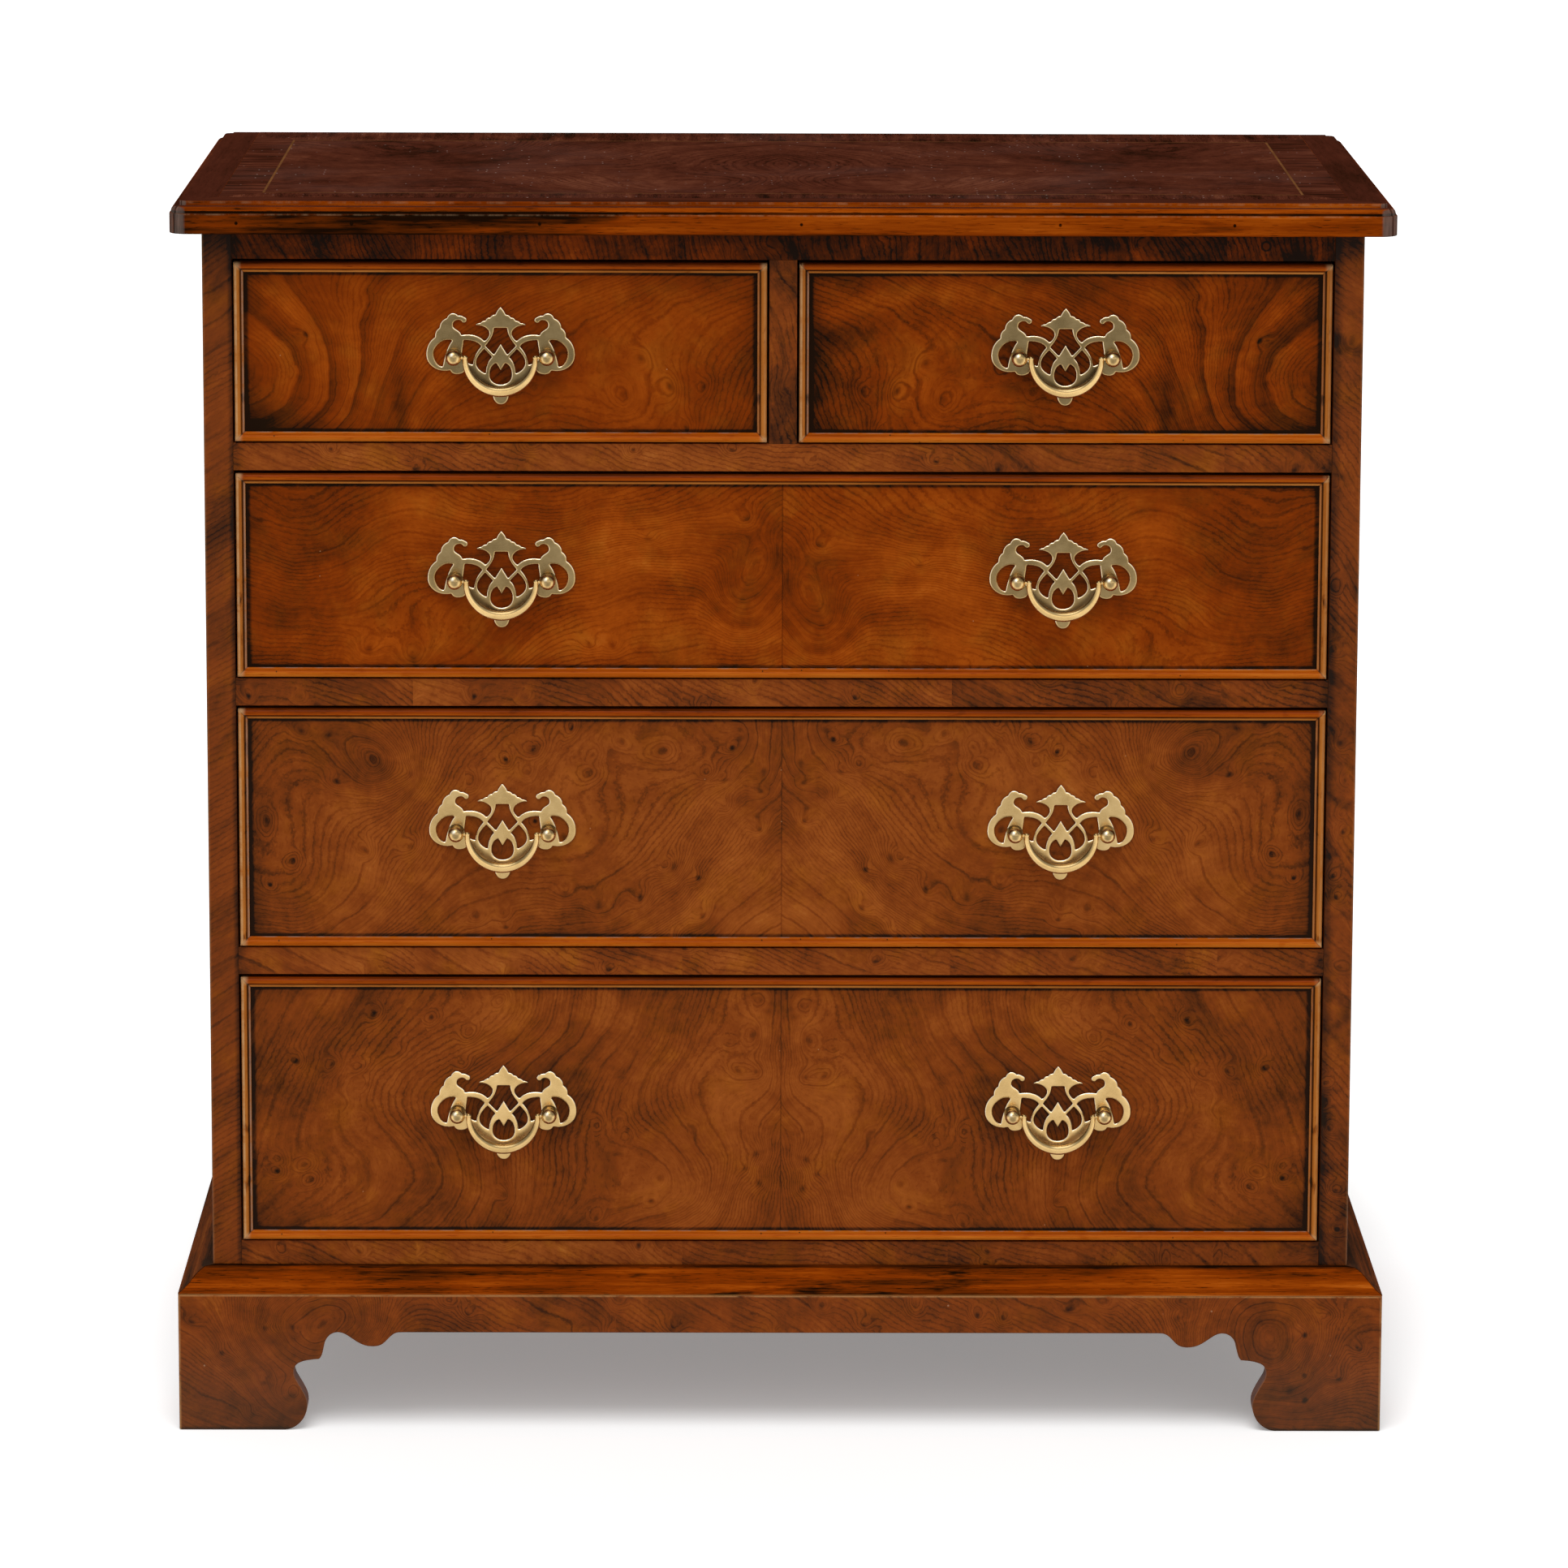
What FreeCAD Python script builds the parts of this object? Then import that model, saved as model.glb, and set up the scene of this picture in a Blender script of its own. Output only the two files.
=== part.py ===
import FreeCAD, Part
import math
import os
from FreeCAD import Vector

# A chest of drawers on a bracket plinth: two short drawers over three long ones.
# Millimetres. X runs to the right, Y to the back and Z up from the floor.

# Carcase
carcase_width = 790.0
carcase_depth = 459.0
carcase_height = 722.0
side_thickness = 20.0
bottom_thickness = 17.0
rail_height = 19.0
rail_depth = 70.0
divider_width = 19.0
tenon_length = 8.0
tenon_shoulder = 5.0
# Heights of the drawer openings against each other, lowest first
row_height_shares = [379, 339, 288, 252]

# Back boards
back_thickness = 8.0
back_rebate = 10.0
back_board_count = 5
back_board_chamfer = 1.2

# Runners, guide and stops
runner_width = 20.0
runner_housing = 4.0
centre_runner_width = 60.0
guide_height = 14.0
stop_length = 40.0
stop_depth = 20.0
stop_height = 5.0
stop_place_shares = [0.2, 0.8]

# Top
top_overhang = 21.0
top_edging_width = 32.0
top_corner_radius = 12.5
fascia_height = 13.8
quirk_height = 1.6
quirk_depth = 1.2
ovolo_height = 3.5
ovolo_depth = 4.3
fillet_height = 3.1
fillet_depth = 1.5
arc_share = math.sqrt(0.5)
mitre_angle = 45.0
stringing_inset = 60.0
stringing_width = 1.6
stringing_depth = 1.5

# Base frame and plinth
plinth_projection = 23.0
plinth_height = 97.0
plinth_thickness = 20.0
base_thickness = 16.0
base_member_width = 72.0
base_ledge = 5.5
base_lip = 1.0
ogee_bow_share = 0.03
arch_height = 70.0
bracket_length = 154.0
rear_bracket_length = 110.0
corner_block_size = 40.0
corner_block_lift = 3.0
# Scroll of a bracket: shares of its length, from the foot's outer end, and of the arch height
bracket_shares = [
    [(0.0, 0.0), (0.480, 0.0)],
    [(0.480, 0.0), (0.524, 0.035), (0.557, 0.105), (0.575, 0.195), (0.577, 0.290), (0.560, 0.390),
     (0.535, 0.485), (0.518, 0.575), (0.526, 0.655), (0.566, 0.706), (0.634, 0.725)],
    [(0.634, 0.725), (0.650, 0.800), (0.660, 0.900), (0.684, 0.975), (0.721, 1.0), (0.756, 0.975),
     (0.792, 0.920), (0.834, 0.870), (0.876, 0.855), (0.916, 0.875), (0.954, 0.955), (1.0, 1.0)],
]
rear_foot_share = 0.55
rear_curve_shares = (0.72, 0.62)

# Drawers
front_thickness = 20.0
drawer_side_gap = 1.5
drawer_lower_gap = 1.3
drawer_upper_gap = 2.2
running_gap = 0.3
rear_clearance = 16.0
drawer_side_thickness = 10.0
drawer_side_drop = 6.0
drawer_back_thickness = 10.0
drawer_back_drop = 5.0
drawer_bottom_thickness = 6.0
drawer_bottom_lift = 9.0
groove_depth = 5.0
lap_thickness = 8.0
tail_pitch = 36.0
tail_width_share = 0.6
tail_flare_share = 0.14
half_pin_height = 5.0

# Bead round each drawer front
bead_width = 6.5
bead_round_share = 0.72
bead_proud = 3.0
bead_lip = 1.0
bead_let_in = 5.0

# Handles
handle_drop = 2.6
bolt_centres = 63.5
plate_width_share = 1.59
plate_height_share = 1.05
plate_thickness = 2.0
shank_radius = 2.2
bolt_clearance = 0.3
flange_radius = 5.6
flange_thickness = 1.2
neck_radius = 2.8
neck_base_radius = 4.4
ring_radius = 4.2
ring_thickness = 1.4
ball_radius = 5.4
ball_reach = 11.5
nut_across_flats = 8.0
nut_sides = 6
nut_thickness = 3.5
nut_fit = 0.05
shank_beyond_nut = 1.5
bail_drop = 23.3
bail_end_radius = 1.6
bail_middle_radius = 3.4
bail_sections = 13
knuckle_radius = 1.9
knuckle_gap = 0.55
pin_radius = 1.1
pin_fit = 0.08
pin_engagement = 3.0
pin_end_gap = 0.4

# Plate outline and piercings, right half: shares of half the plate's width and height
plate_outline_shares = [
    [(0.00, 1.00), (0.04, 0.93), (0.07, 0.84)],
    [(0.07, 0.84), (0.11, 0.83), (0.14, 0.78)],
    [(0.14, 0.78), (0.18, 0.77), (0.20, 0.72)],
    [(0.20, 0.72), (0.24, 0.71), (0.27, 0.67)],
    [(0.27, 0.67), (0.31, 0.66), (0.34, 0.63)],
    [(0.34, 0.63), (0.25, 0.61), (0.19, 0.56), (0.15, 0.46), (0.17, 0.37), (0.22, 0.30)],
    [(0.22, 0.30), (0.30, 0.39), (0.40, 0.43), (0.53, 0.42)],
    [(0.53, 0.42), (0.58, 0.52), (0.64, 0.60), (0.63, 0.69), (0.58, 0.73), (0.51, 0.68)],
    [(0.51, 0.68), (0.46, 0.71), (0.49, 0.79)],
    [(0.49, 0.79), (0.53, 0.82), (0.57, 0.82)],
    [(0.57, 0.82), (0.65, 0.87), (0.72, 0.77)],
    [(0.72, 0.77), (0.79, 0.70), (0.82, 0.57)],
    [(0.82, 0.57), (0.87, 0.49), (0.88, 0.38)],
    [(0.88, 0.38), (0.95, 0.28), (1.00, 0.06), (0.98, -0.12), (0.90, -0.25), (0.79, -0.31),
     (0.68, -0.30)],
    [(0.68, -0.30), (0.65, -0.36), (0.57, -0.38), (0.50, -0.34), (0.48, -0.24)],
    [(0.48, -0.24), (0.44, -0.37), (0.36, -0.51), (0.26, -0.62)],
    [(0.26, -0.62), (0.21, -0.68), (0.15, -0.72), (0.11, -0.77)],
    [(0.11, -0.77), (0.10, -0.87), (0.06, -0.97), (0.00, -1.00)],
]
bell_shares = [
    [(0.00, 0.57), (0.09, 0.57)],
    [(0.09, 0.57), (0.105, 0.44), (0.15, 0.31), (0.205, 0.20)],
    [(0.205, 0.20), (0.09, 0.02)],
    [(0.09, 0.02), (0.00, 0.24)],
]
heart_shares = [
    [(0.00, -0.30), (0.06, -0.15)],
    [(0.06, -0.15), (0.12, -0.22), (0.15, -0.36), (0.13, -0.50), (0.06, -0.58), (0.00, -0.595)],
]
leaf_shares = [
    [(0.22, 0.14), (0.115, -0.03)],
    [(0.115, -0.03), (0.16, -0.11), (0.19, -0.23), (0.20, -0.37)],
    [(0.20, -0.37), (0.27, -0.31), (0.32, -0.22), (0.33, -0.11), (0.29, 0.02), (0.22, 0.14)],
]
arm_shares = [
    [(0.26, 0.19), (0.32, 0.27), (0.40, 0.31), (0.50, 0.32)],
    [(0.50, 0.32), (0.51, 0.18), (0.52, 0.06), (0.50, -0.08)],
    [(0.50, -0.08), (0.44, -0.15), (0.37, -0.19)],
    [(0.37, -0.19), (0.36, -0.07), (0.32, 0.07), (0.26, 0.19)],
]
kidney_shares = [
    [(0.65, 0.31), (0.74, 0.32), (0.83, 0.25), (0.90, 0.09), (0.89, -0.07), (0.84, -0.19),
     (0.78, -0.23)],
    [(0.78, -0.23), (0.765, -0.11), (0.74, 0.03), (0.70, 0.19), (0.65, 0.31)],
]

# Places that follow from the sizes
half_width = carcase_width / 2
inner_half = half_width - side_thickness
y_back = (carcase_depth + max(plinth_projection, top_overhang)) / 2
y_front = y_back - carcase_depth
y_rail_back = y_front + rail_depth
y_panel = y_back - back_thickness
z_carcase = plinth_height + base_thickness
row_space = carcase_height - bottom_thickness - rail_height * len(row_height_shares)
row_heights = [row_space * share / sum(row_height_shares) for share in row_height_shares]
row_floors = []
level = z_carcase + bottom_thickness
for row_height in row_heights:
    row_floors.append(level)
    level += row_height + rail_height
z_top = level
top_profile_depth = quirk_depth + ovolo_depth + fillet_depth
top_thickness = fascia_height + quirk_height + ovolo_height + fillet_height
top_half = half_width + top_overhang
y_top_front = y_front - top_overhang
plinth_half = half_width + plinth_projection
y_plinth = y_front - plinth_projection
bead_round = bead_width * bead_round_share
plate_width = bolt_centres * plate_width_share
plate_height = bolt_centres * plate_height_share
bail_half_span = bolt_centres / 2 - ball_radius - knuckle_radius - knuckle_gap


def box(x0, x1, y0, y1, z0, z1):
    return Part.makeBox(x1 - x0, y1 - y0, z1 - z0, Vector(x0, y0, z0))


def mirrored(shape):
    return shape.mirror(Vector(0, 0, 0), Vector(1, 0, 0))


def joined(first, *others):
    return first.fuse(list(others)).removeSplitter()


def curve(points):
    """A line through two points, an arc through three, a smooth curve through more."""
    if len(points) == 2:
        return Part.makeLine(*points)
    if len(points) == 3:
        return Part.Arc(*points).toShape()
    spline = Part.BSplineCurve()
    spline.interpolate(points)
    return spline.toShape()


def prism(edges, travel):
    wire = Part.Wire(Part.__sortEdges__(edges))
    return Part.Face(wire).extrude(travel)


def polygon_prism(points, travel):
    return Part.Face(Part.makePolygon(points + points[:1])).extrude(travel)


def save(name, shapes):
    solids = [solid for shape in shapes for solid in shape.Solids]
    kept = solids[0] if len(solids) == 1 else Part.makeCompound(solids)
    kept.exportStep(os.path.join("parts", name + ".step"))


def tenoned_board(y1, z0, z1):
    """A board between the sides, flush with their front edges, with a tenon in each side."""
    board = box(-inner_half, inner_half, y_front, y1, z0, z1)
    reach = inner_half + tenon_length
    tenon = box(-reach, reach, y_front + tenon_shoulder, y1 - tenon_shoulder,
                z0 + tenon_shoulder, z1 - tenon_shoulder)
    return joined(board, tenon)


def divider_board(z0, z1):
    half = divider_width / 2
    board = box(-half, half, y_front, y_rail_back, z0, z1)
    core = half - tenon_shoulder / 2
    tenon = box(-core, core, y_front + tenon_shoulder, y_rail_back - tenon_shoulder,
                z0 - tenon_length, z1 + tenon_length)
    return joined(board, tenon)


def runner_strip(x0, x1, z0):
    return box(x0, x1, y_rail_back, y_panel, z0, z0 + rail_height)


def side_runners(z0):
    right = runner_strip(inner_half - runner_width, inner_half + runner_housing, z0)
    return [right, mirrored(right)]


def centre_runner(z0):
    return runner_strip(-centre_runner_width / 2, centre_runner_width / 2, z0)


def back_boards():
    """Upright boards side by side in the rebates of the carcase sides."""
    reach = inner_half + back_rebate
    width = 2 * reach / back_board_count
    boards = []
    for i in range(back_board_count):
        x0 = -reach + i * width
        x1 = x0 + width
        plan = [Vector(x0, y_panel, z_carcase), Vector(x1, y_panel, z_carcase),
                Vector(x1, y_back - back_board_chamfer, z_carcase),
                Vector(x1 - back_board_chamfer, y_back, z_carcase),
                Vector(x0 + back_board_chamfer, y_back, z_carcase),
                Vector(x0, y_back - back_board_chamfer, z_carcase)]
        boards.append(polygon_prism(plan, Vector(0, 0, z_top - z_carcase)))
    return boards


def mitre_plan(x_outer, y_outer, width, z):
    """Plan of the front length of a mitred edging."""
    return [Vector(-x_outer, y_outer, z), Vector(x_outer, y_outer, z),
            Vector(x_outer - width, y_outer + width, z),
            Vector(width - x_outer, y_outer + width, z)]


def return_plan(x_outer, y_outer, width, z):
    """Plan of the right-hand length of a mitred edging."""
    return [Vector(x_outer, y_outer, z), Vector(x_outer, y_back, z),
            Vector(x_outer - width, y_back, z), Vector(x_outer - width, y_outer + width, z)]


def mitred_lengths(profile, x_outer, y_outer, width, z0, z1):
    """Front and right-hand lengths of an edging; profile runs are (in from the edge, height)."""
    rise = Vector(0, 0, z1 - z0)
    along = [[Vector(-x_outer, y_outer + o, z) for o, z in run] for run in profile]
    front = prism([curve(run) for run in along], Vector(2 * x_outer, 0, 0))
    front = front.common(polygon_prism(mitre_plan(x_outer, y_outer, width, z0), rise))
    along = [[Vector(x_outer - o, y_outer, z) for o, z in run] for run in profile]
    right = prism([curve(run) for run in along], Vector(0, y_back - y_outer, 0))
    right = right.common(polygon_prism(return_plan(x_outer, y_outer, width, z0), rise))
    return front, right


def top_edge_runs():
    """Moulded edge of the top from the fascia's foot to the upper arris."""
    z_quirk = z_top + fascia_height
    z_ovolo = z_quirk + quirk_height
    z_fillet = z_ovolo + ovolo_height
    ovolo_middle = (quirk_depth + ovolo_depth * (1 - arc_share), z_ovolo + ovolo_height * arc_share)
    ovolo_end = quirk_depth + ovolo_depth
    return [[(0, z_top), (0, z_quirk)],
            [(0, z_quirk), (quirk_depth, z_quirk)],
            [(quirk_depth, z_quirk), (quirk_depth, z_ovolo)],
            [(quirk_depth, z_ovolo), ovolo_middle, (ovolo_end, z_fillet)],
            [(ovolo_end, z_fillet), (top_profile_depth, z_fillet)],
            [(top_profile_depth, z_fillet), (top_profile_depth, z_top + top_thickness)]]


def closed_runs(edge_runs, width, z0, z1):
    """An edge profile closed to a section of the given width."""
    return edge_runs + [[edge_runs[-1][-1], (width, z1)], [(width, z1), (width, z0)],
                        [(width, z0), edge_runs[0][0]]]


def turned_corner(y_centre, start_angle, sweep):
    """Part of a rounded corner of the top, on the right, turned about its centre."""
    centre = Vector(top_half - top_corner_radius, y_centre, 0)
    runs = closed_runs(top_edge_runs(), top_corner_radius, z_top, z_top + top_thickness)
    points = [[centre + Vector(top_corner_radius - o, 0, z) for o, z in run] for run in runs]
    face = Part.Face(Part.Wire(Part.__sortEdges__([curve(run) for run in points])))
    turn = face.revolve(centre, Vector(0, 0, 1), sweep)
    turn.rotate(centre, Vector(0, 0, 1), start_angle)
    return turn


def top_edging():
    """Front, right and left lengths of the moulded edging, with rounded corners."""
    z1 = z_top + top_thickness
    runs = closed_runs(top_edge_runs(), top_edging_width, z_top, z1)
    front, right = mitred_lengths(runs, top_half, y_top_front, top_edging_width, z_top, z1)
    x_centre = top_half - top_corner_radius
    y_fore = y_top_front + top_corner_radius
    y_rear = y_back - top_corner_radius
    corner = box(x_centre, top_half, y_top_front, y_fore, z_top, z1)
    rear = box(x_centre, top_half, y_rear, y_back, z_top, z1)
    front = front.cut([corner, mirrored(corner)])
    front_turn = turned_corner(y_fore, -2 * mitre_angle, mitre_angle)
    front = joined(front, front_turn, mirrored(front_turn))
    right = joined(right.cut([corner, rear]), turned_corner(y_fore, -mitre_angle, mitre_angle),
                   turned_corner(y_rear, 0, 2 * mitre_angle))
    return front, right, mirrored(right)


def stringing():
    """Four mitred lines of inlay, flush with the top."""
    z = z_top + top_thickness - stringing_depth
    x = top_half - stringing_inset
    y0 = y_top_front + stringing_inset
    y1 = y_back - stringing_inset
    w = stringing_width
    outer = [Vector(-x, y0, z), Vector(x, y0, z), Vector(x, y1, z), Vector(-x, y1, z)]
    inner = [Vector(w - x, y0 + w, z), Vector(x - w, y0 + w, z), Vector(x - w, y1 - w, z),
             Vector(w - x, y1 - w, z)]
    lines = []
    for i in range(len(outer)):
        j = (i + 1) % len(outer)
        plan = [outer[i], outer[j], inner[j], inner[i]]
        lines.append(polygon_prism(plan, Vector(0, 0, stringing_depth)))
    return lines


def top_panel(lines):
    x = top_half - top_edging_width
    panel = box(-x, x, y_top_front + top_edging_width, y_back, z_top, z_top + top_thickness)
    return panel.cut(lines)


def ogee_runs():
    """Moulded edge of the base frame: a hollow below, a round above."""
    z0 = plinth_height
    run = plinth_projection - base_ledge
    rise = base_thickness - base_lip
    foot = (0, z0 + base_lip)
    middle = (run / 2, z0 + base_lip + rise / 2)
    head = (run, z0 + base_thickness)
    hollow = (run / 4 + rise * ogee_bow_share, z0 + base_lip + rise / 4 - run * ogee_bow_share)
    swell = (3 * run / 4 - rise * ogee_bow_share, z0 + base_lip + 3 * rise / 4 + run * ogee_bow_share)
    return [[(0, z0), foot], [foot, hollow, middle], [middle, swell, head]]


def base_frame():
    runs = closed_runs(ogee_runs(), base_member_width, plinth_height, z_carcase)
    front, right = mitred_lengths(runs, plinth_half, y_plinth, base_member_width,
                                  plinth_height, z_carcase)
    x = plinth_half - base_member_width
    back = box(-x, x, y_back - base_member_width, y_back, plinth_height, z_carcase)
    return [front, right, mirrored(right), back]


def scrolled_edges(length, place):
    """Outline of a plinth board with a scrolled bracket at each end; place(s, z) sets a point."""
    edges = []
    for run in bracket_shares:
        points = [(x * bracket_length, z * arch_height) for x, z in run]
        edges.append(curve([place(s, z) for s, z in points]))
        edges.append(curve([place(length - s, z) for s, z in points]))
    edges.append(curve([place(bracket_length, arch_height), place(length - bracket_length, arch_height)]))
    edges.append(curve([place(0, 0), place(0, plinth_height)]))
    edges.append(curve([place(0, plinth_height), place(length, plinth_height)]))
    edges.append(curve([place(length, plinth_height), place(length, 0)]))
    return edges


def plinth_boards():
    """Front and right-hand boards of the plinth, mitred at the front corner."""
    rise = Vector(0, 0, plinth_height)
    front = prism(scrolled_edges(2 * plinth_half, lambda s, z: Vector(s - plinth_half, y_plinth, z)),
                  Vector(0, plinth_thickness, 0))
    front = front.common(polygon_prism(mitre_plan(plinth_half, y_plinth, plinth_thickness, 0), rise))
    length = y_back - y_plinth
    right = prism(scrolled_edges(length, lambda s, z: Vector(plinth_half, y_plinth + s, z)),
                  Vector(-plinth_thickness, 0, 0))
    right = right.common(polygon_prism(return_plan(plinth_half, y_plinth, plinth_thickness, 0), rise))
    return front, right


def rear_bracket():
    """Plain bracket behind the right-hand rear foot."""
    x0 = plinth_half - plinth_thickness
    y = y_back - plinth_thickness
    foot = rear_bracket_length * rear_foot_share
    middle = Vector(x0 - rear_bracket_length * rear_curve_shares[0], y, arch_height * rear_curve_shares[1])
    corners = [Vector(x0 - foot, y, 0), Vector(x0, y, 0), Vector(x0, y, plinth_height),
               Vector(x0 - rear_bracket_length, y, plinth_height),
               Vector(x0 - rear_bracket_length, y, arch_height)]
    edges = [curve(corners[i:i + 2]) for i in range(len(corners) - 1)]
    edges.append(curve([corners[-1], middle, corners[0]]))
    return prism(edges, Vector(0, plinth_thickness, 0))


def corner_blocks():
    x1 = plinth_half - plinth_thickness
    y0 = y_plinth + plinth_thickness
    y1 = y_back - plinth_thickness
    front = box(x1 - corner_block_size, x1, y0, y0 + corner_block_size, corner_block_lift, plinth_height)
    rear = box(x1 - corner_block_size, x1, y1 - corner_block_size, y1, corner_block_lift, plinth_height)
    return [front, mirrored(front), rear, mirrored(rear)]


def drawer_stops(x0, x1, z0):
    stops = []
    for share in stop_place_shares:
        x = x0 + (x1 - x0) * share - stop_length / 2
        y = y_front + front_thickness
        stops.append(box(x, x + stop_length, y, y + stop_depth, z0, z0 + stop_height))
    return stops


def bead_strip(start, end, inward):
    """One mitred bead strip along an edge of a drawer front, from start to end in the front."""
    along = end - start
    step = Vector(along).normalize() * bead_width
    depths = [(0, bead_let_in), (0, -bead_lip), (bead_round / 2, -bead_proud), (bead_round, -bead_lip),
              (bead_width, -bead_lip), (bead_width, bead_let_in)]
    points = [start + inward * w + Vector(0, y_front + y, 0) for w, y in depths]
    edges = [curve(points[0:2]), curve(points[1:4]), curve(points[3:5]), curve(points[4:6]),
             curve([points[5], points[0]])]
    strip = prism(edges, along)
    back = Vector(0, y_front + bead_let_in, 0)
    inset = inward * bead_width
    plan = [start + back, end + back, end + back + inset - step, start + back + inset + step]
    return strip.common(polygon_prism(plan, Vector(0, -bead_let_in - bead_proud, 0)))


def bead_frame(x0, x1, z0, z1):
    corners = [Vector(x0, 0, z0), Vector(x1, 0, z0), Vector(x1, 0, z1), Vector(x0, 0, z1)]
    inwards = [Vector(0, 0, 1), Vector(-1, 0, 0), Vector(0, 0, -1), Vector(1, 0, 0)]
    return [bead_strip(corners[i], corners[(i + 1) % len(corners)], inwards[i])
            for i in range(len(corners))]


def tails(x0, y_root, y_tip, z0, z1):
    """Dovetail tails on one end of a drawer side."""
    count = max(2, round((z1 - z0) / tail_pitch))
    pitch = (z1 - z0) / count
    root = pitch * tail_width_share / 2
    tip = root + abs(y_tip - y_root) * tail_flare_share
    shapes = []
    for i in range(count):
        z = z0 + pitch / 2 + pitch * i
        outline = [Vector(x0, y_root, z - root), Vector(x0, y_tip, z - tip),
                   Vector(x0, y_tip, z + tip), Vector(x0, y_root, z + root)]
        shapes.append(polygon_prism(outline, Vector(drawer_side_thickness, 0, 0)))
    return shapes


def front_board(x0, x1, z0, z1):
    """Drawer front with a rebate round its face for the bead."""
    core = box(x0, x1, y_front + bead_let_in, y_front + front_thickness, z0, z1)
    face = box(x0 + bead_width, x1 - bead_width, y_front, y_front + bead_let_in,
               z0 + bead_width, z1 - bead_width)
    return joined(core, face)


def drawer_box(x0, x1, floor, z0, z1):
    """Front, sides, back and bottom of one drawer; z0 and z1 are the front's edges."""
    y_shoulder = y_front + front_thickness
    y_end = y_panel - rear_clearance
    y_back_face = y_end - drawer_back_thickness
    foot = floor + running_gap
    head = z1 - drawer_side_drop
    z_bottom = foot + drawer_bottom_lift
    z_back = z_bottom + drawer_bottom_thickness
    back_head = head - drawer_back_drop
    reach = drawer_side_thickness - groove_depth
    bottom = box(x0 + reach, x1 - reach, y_shoulder - groove_depth, y_end, z_bottom, z_back)
    front = front_board(x0, x1, z0, z1)
    back = box(x0, x1, y_back_face, y_end, z_back, back_head)
    sides = []
    for x in (x0, x1 - drawer_side_thickness):
        board = box(x, x + drawer_side_thickness, y_shoulder, y_back_face, foot, head)
        fore = tails(x, y_shoulder, y_front + lap_thickness, z0 + half_pin_height, head - half_pin_height)
        aft = tails(x, y_back_face, y_end, z_back + half_pin_height, back_head - half_pin_height)
        front = front.cut(fore)
        back = back.cut(aft)
        sides.append(joined(board, *fore, *aft).cut(bottom))
    return front.cut(bottom), sides, back, bottom


def plate_point(share):
    return Vector(share[0] * plate_width / 2, 0, share[1] * plate_height / 2)


def share_edges(runs):
    return [curve([plate_point(share) for share in run]) for run in runs]


def handle_plate():
    """Pierced back plate, its back at zero depth and its posts' line at zero height."""
    out = Vector(0, -plate_thickness, 0)
    half = share_edges(plate_outline_shares)
    plate = prism(half + [mirrored(edge) for edge in half], out)
    for runs in (bell_shares, heart_shares):
        half = share_edges(runs)
        plate = plate.cut(prism(half + [mirrored(edge) for edge in half], out))
    for runs in (leaf_shares, arm_shares, kidney_shares):
        hole = prism(share_edges(runs), out)
        plate = plate.cut([hole, mirrored(hole)])
    bolt = Part.makeCylinder(shank_radius + bolt_clearance, plate_thickness,
                             Vector(bolt_centres / 2, 0, 0), Vector(0, -1, 0))
    return plate.cut([bolt, mirrored(bolt)])


def handle_post():
    """Right-hand post: a ball on a neck with a flange on the plate and a shank through the front."""
    x = bolt_centres / 2
    out = Vector(0, -1, 0)
    y_flange = -plate_thickness
    y_neck = y_flange - flange_thickness
    y_ball = y_flange - ball_reach
    y_ring = y_ball + ball_radius
    tail = front_thickness + nut_thickness + shank_beyond_nut
    shank = Part.makeCylinder(shank_radius, tail + plate_thickness, Vector(x, tail, 0), out)
    flange = Part.makeCylinder(flange_radius, flange_thickness, Vector(x, y_flange, 0), out)
    neck = Part.makeCone(neck_base_radius, neck_radius, y_neck - y_ring, Vector(x, y_neck, 0), out)
    core = Part.makeCylinder(neck_radius, y_ring - y_ball, Vector(x, y_ring, 0), out)
    ring = Part.makeCylinder(ring_radius, ring_thickness, Vector(x, y_ring, 0), out)
    ball = Part.makeSphere(ball_radius, Vector(x, y_ball, 0))
    post = joined(shank, flange, neck, core, ring, ball)
    depth = pin_engagement + pin_end_gap
    bore = Part.makeCylinder(pin_radius + pin_fit, 2 * depth,
                             Vector(x - ball_radius - depth, y_ball, 0), Vector(1, 0, 0))
    return post.cut(bore)


def handle_nut():
    """Six-sided nut behind the front on the right-hand post."""
    x = bolt_centres / 2
    step = 2 * math.pi / nut_sides
    corner = nut_across_flats / 2 / math.cos(step / 2)
    around = [step * i for i in range(nut_sides)]
    outline = [Vector(x + corner * math.cos(a), front_thickness, corner * math.sin(a)) for a in around]
    nut = polygon_prism(outline, Vector(0, nut_thickness, 0))
    hole = Part.makeCylinder(shank_radius + nut_fit, nut_thickness, Vector(x, front_thickness, 0),
                             Vector(0, 1, 0))
    return nut.cut(hole)


def bail():
    """Hanging loop, half an ellipse thickest in its middle, with a pin at each end."""
    y = -plate_thickness - ball_reach
    circles = []
    for i in range(bail_sections):
        angle = math.pi * i / (bail_sections - 1)
        centre = Vector(bail_half_span * math.cos(angle), y, -bail_drop * math.sin(angle))
        tangent = Vector(-bail_half_span * math.sin(angle), 0, -bail_drop * math.cos(angle))
        radius = bail_end_radius + (bail_middle_radius - bail_end_radius) * math.sin(angle)
        circles.append(Part.Wire(Part.Circle(centre, tangent, radius).toShape()))
    loop = Part.makeLoft(circles, True)
    knuckle = Part.makeSphere(knuckle_radius, Vector(bail_half_span, y, 0))
    reach = bolt_centres / 2 - ball_radius + pin_engagement - bail_half_span
    pin = Part.makeCylinder(pin_radius, reach, Vector(bail_half_span, y, 0), Vector(1, 0, 0))
    end = joined(knuckle, pin)
    return joined(loop, end, mirrored(end))


def moved(shape, x, z):
    copy = shape.copy()
    copy.translate(Vector(x, y_front, z))
    return copy


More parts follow.
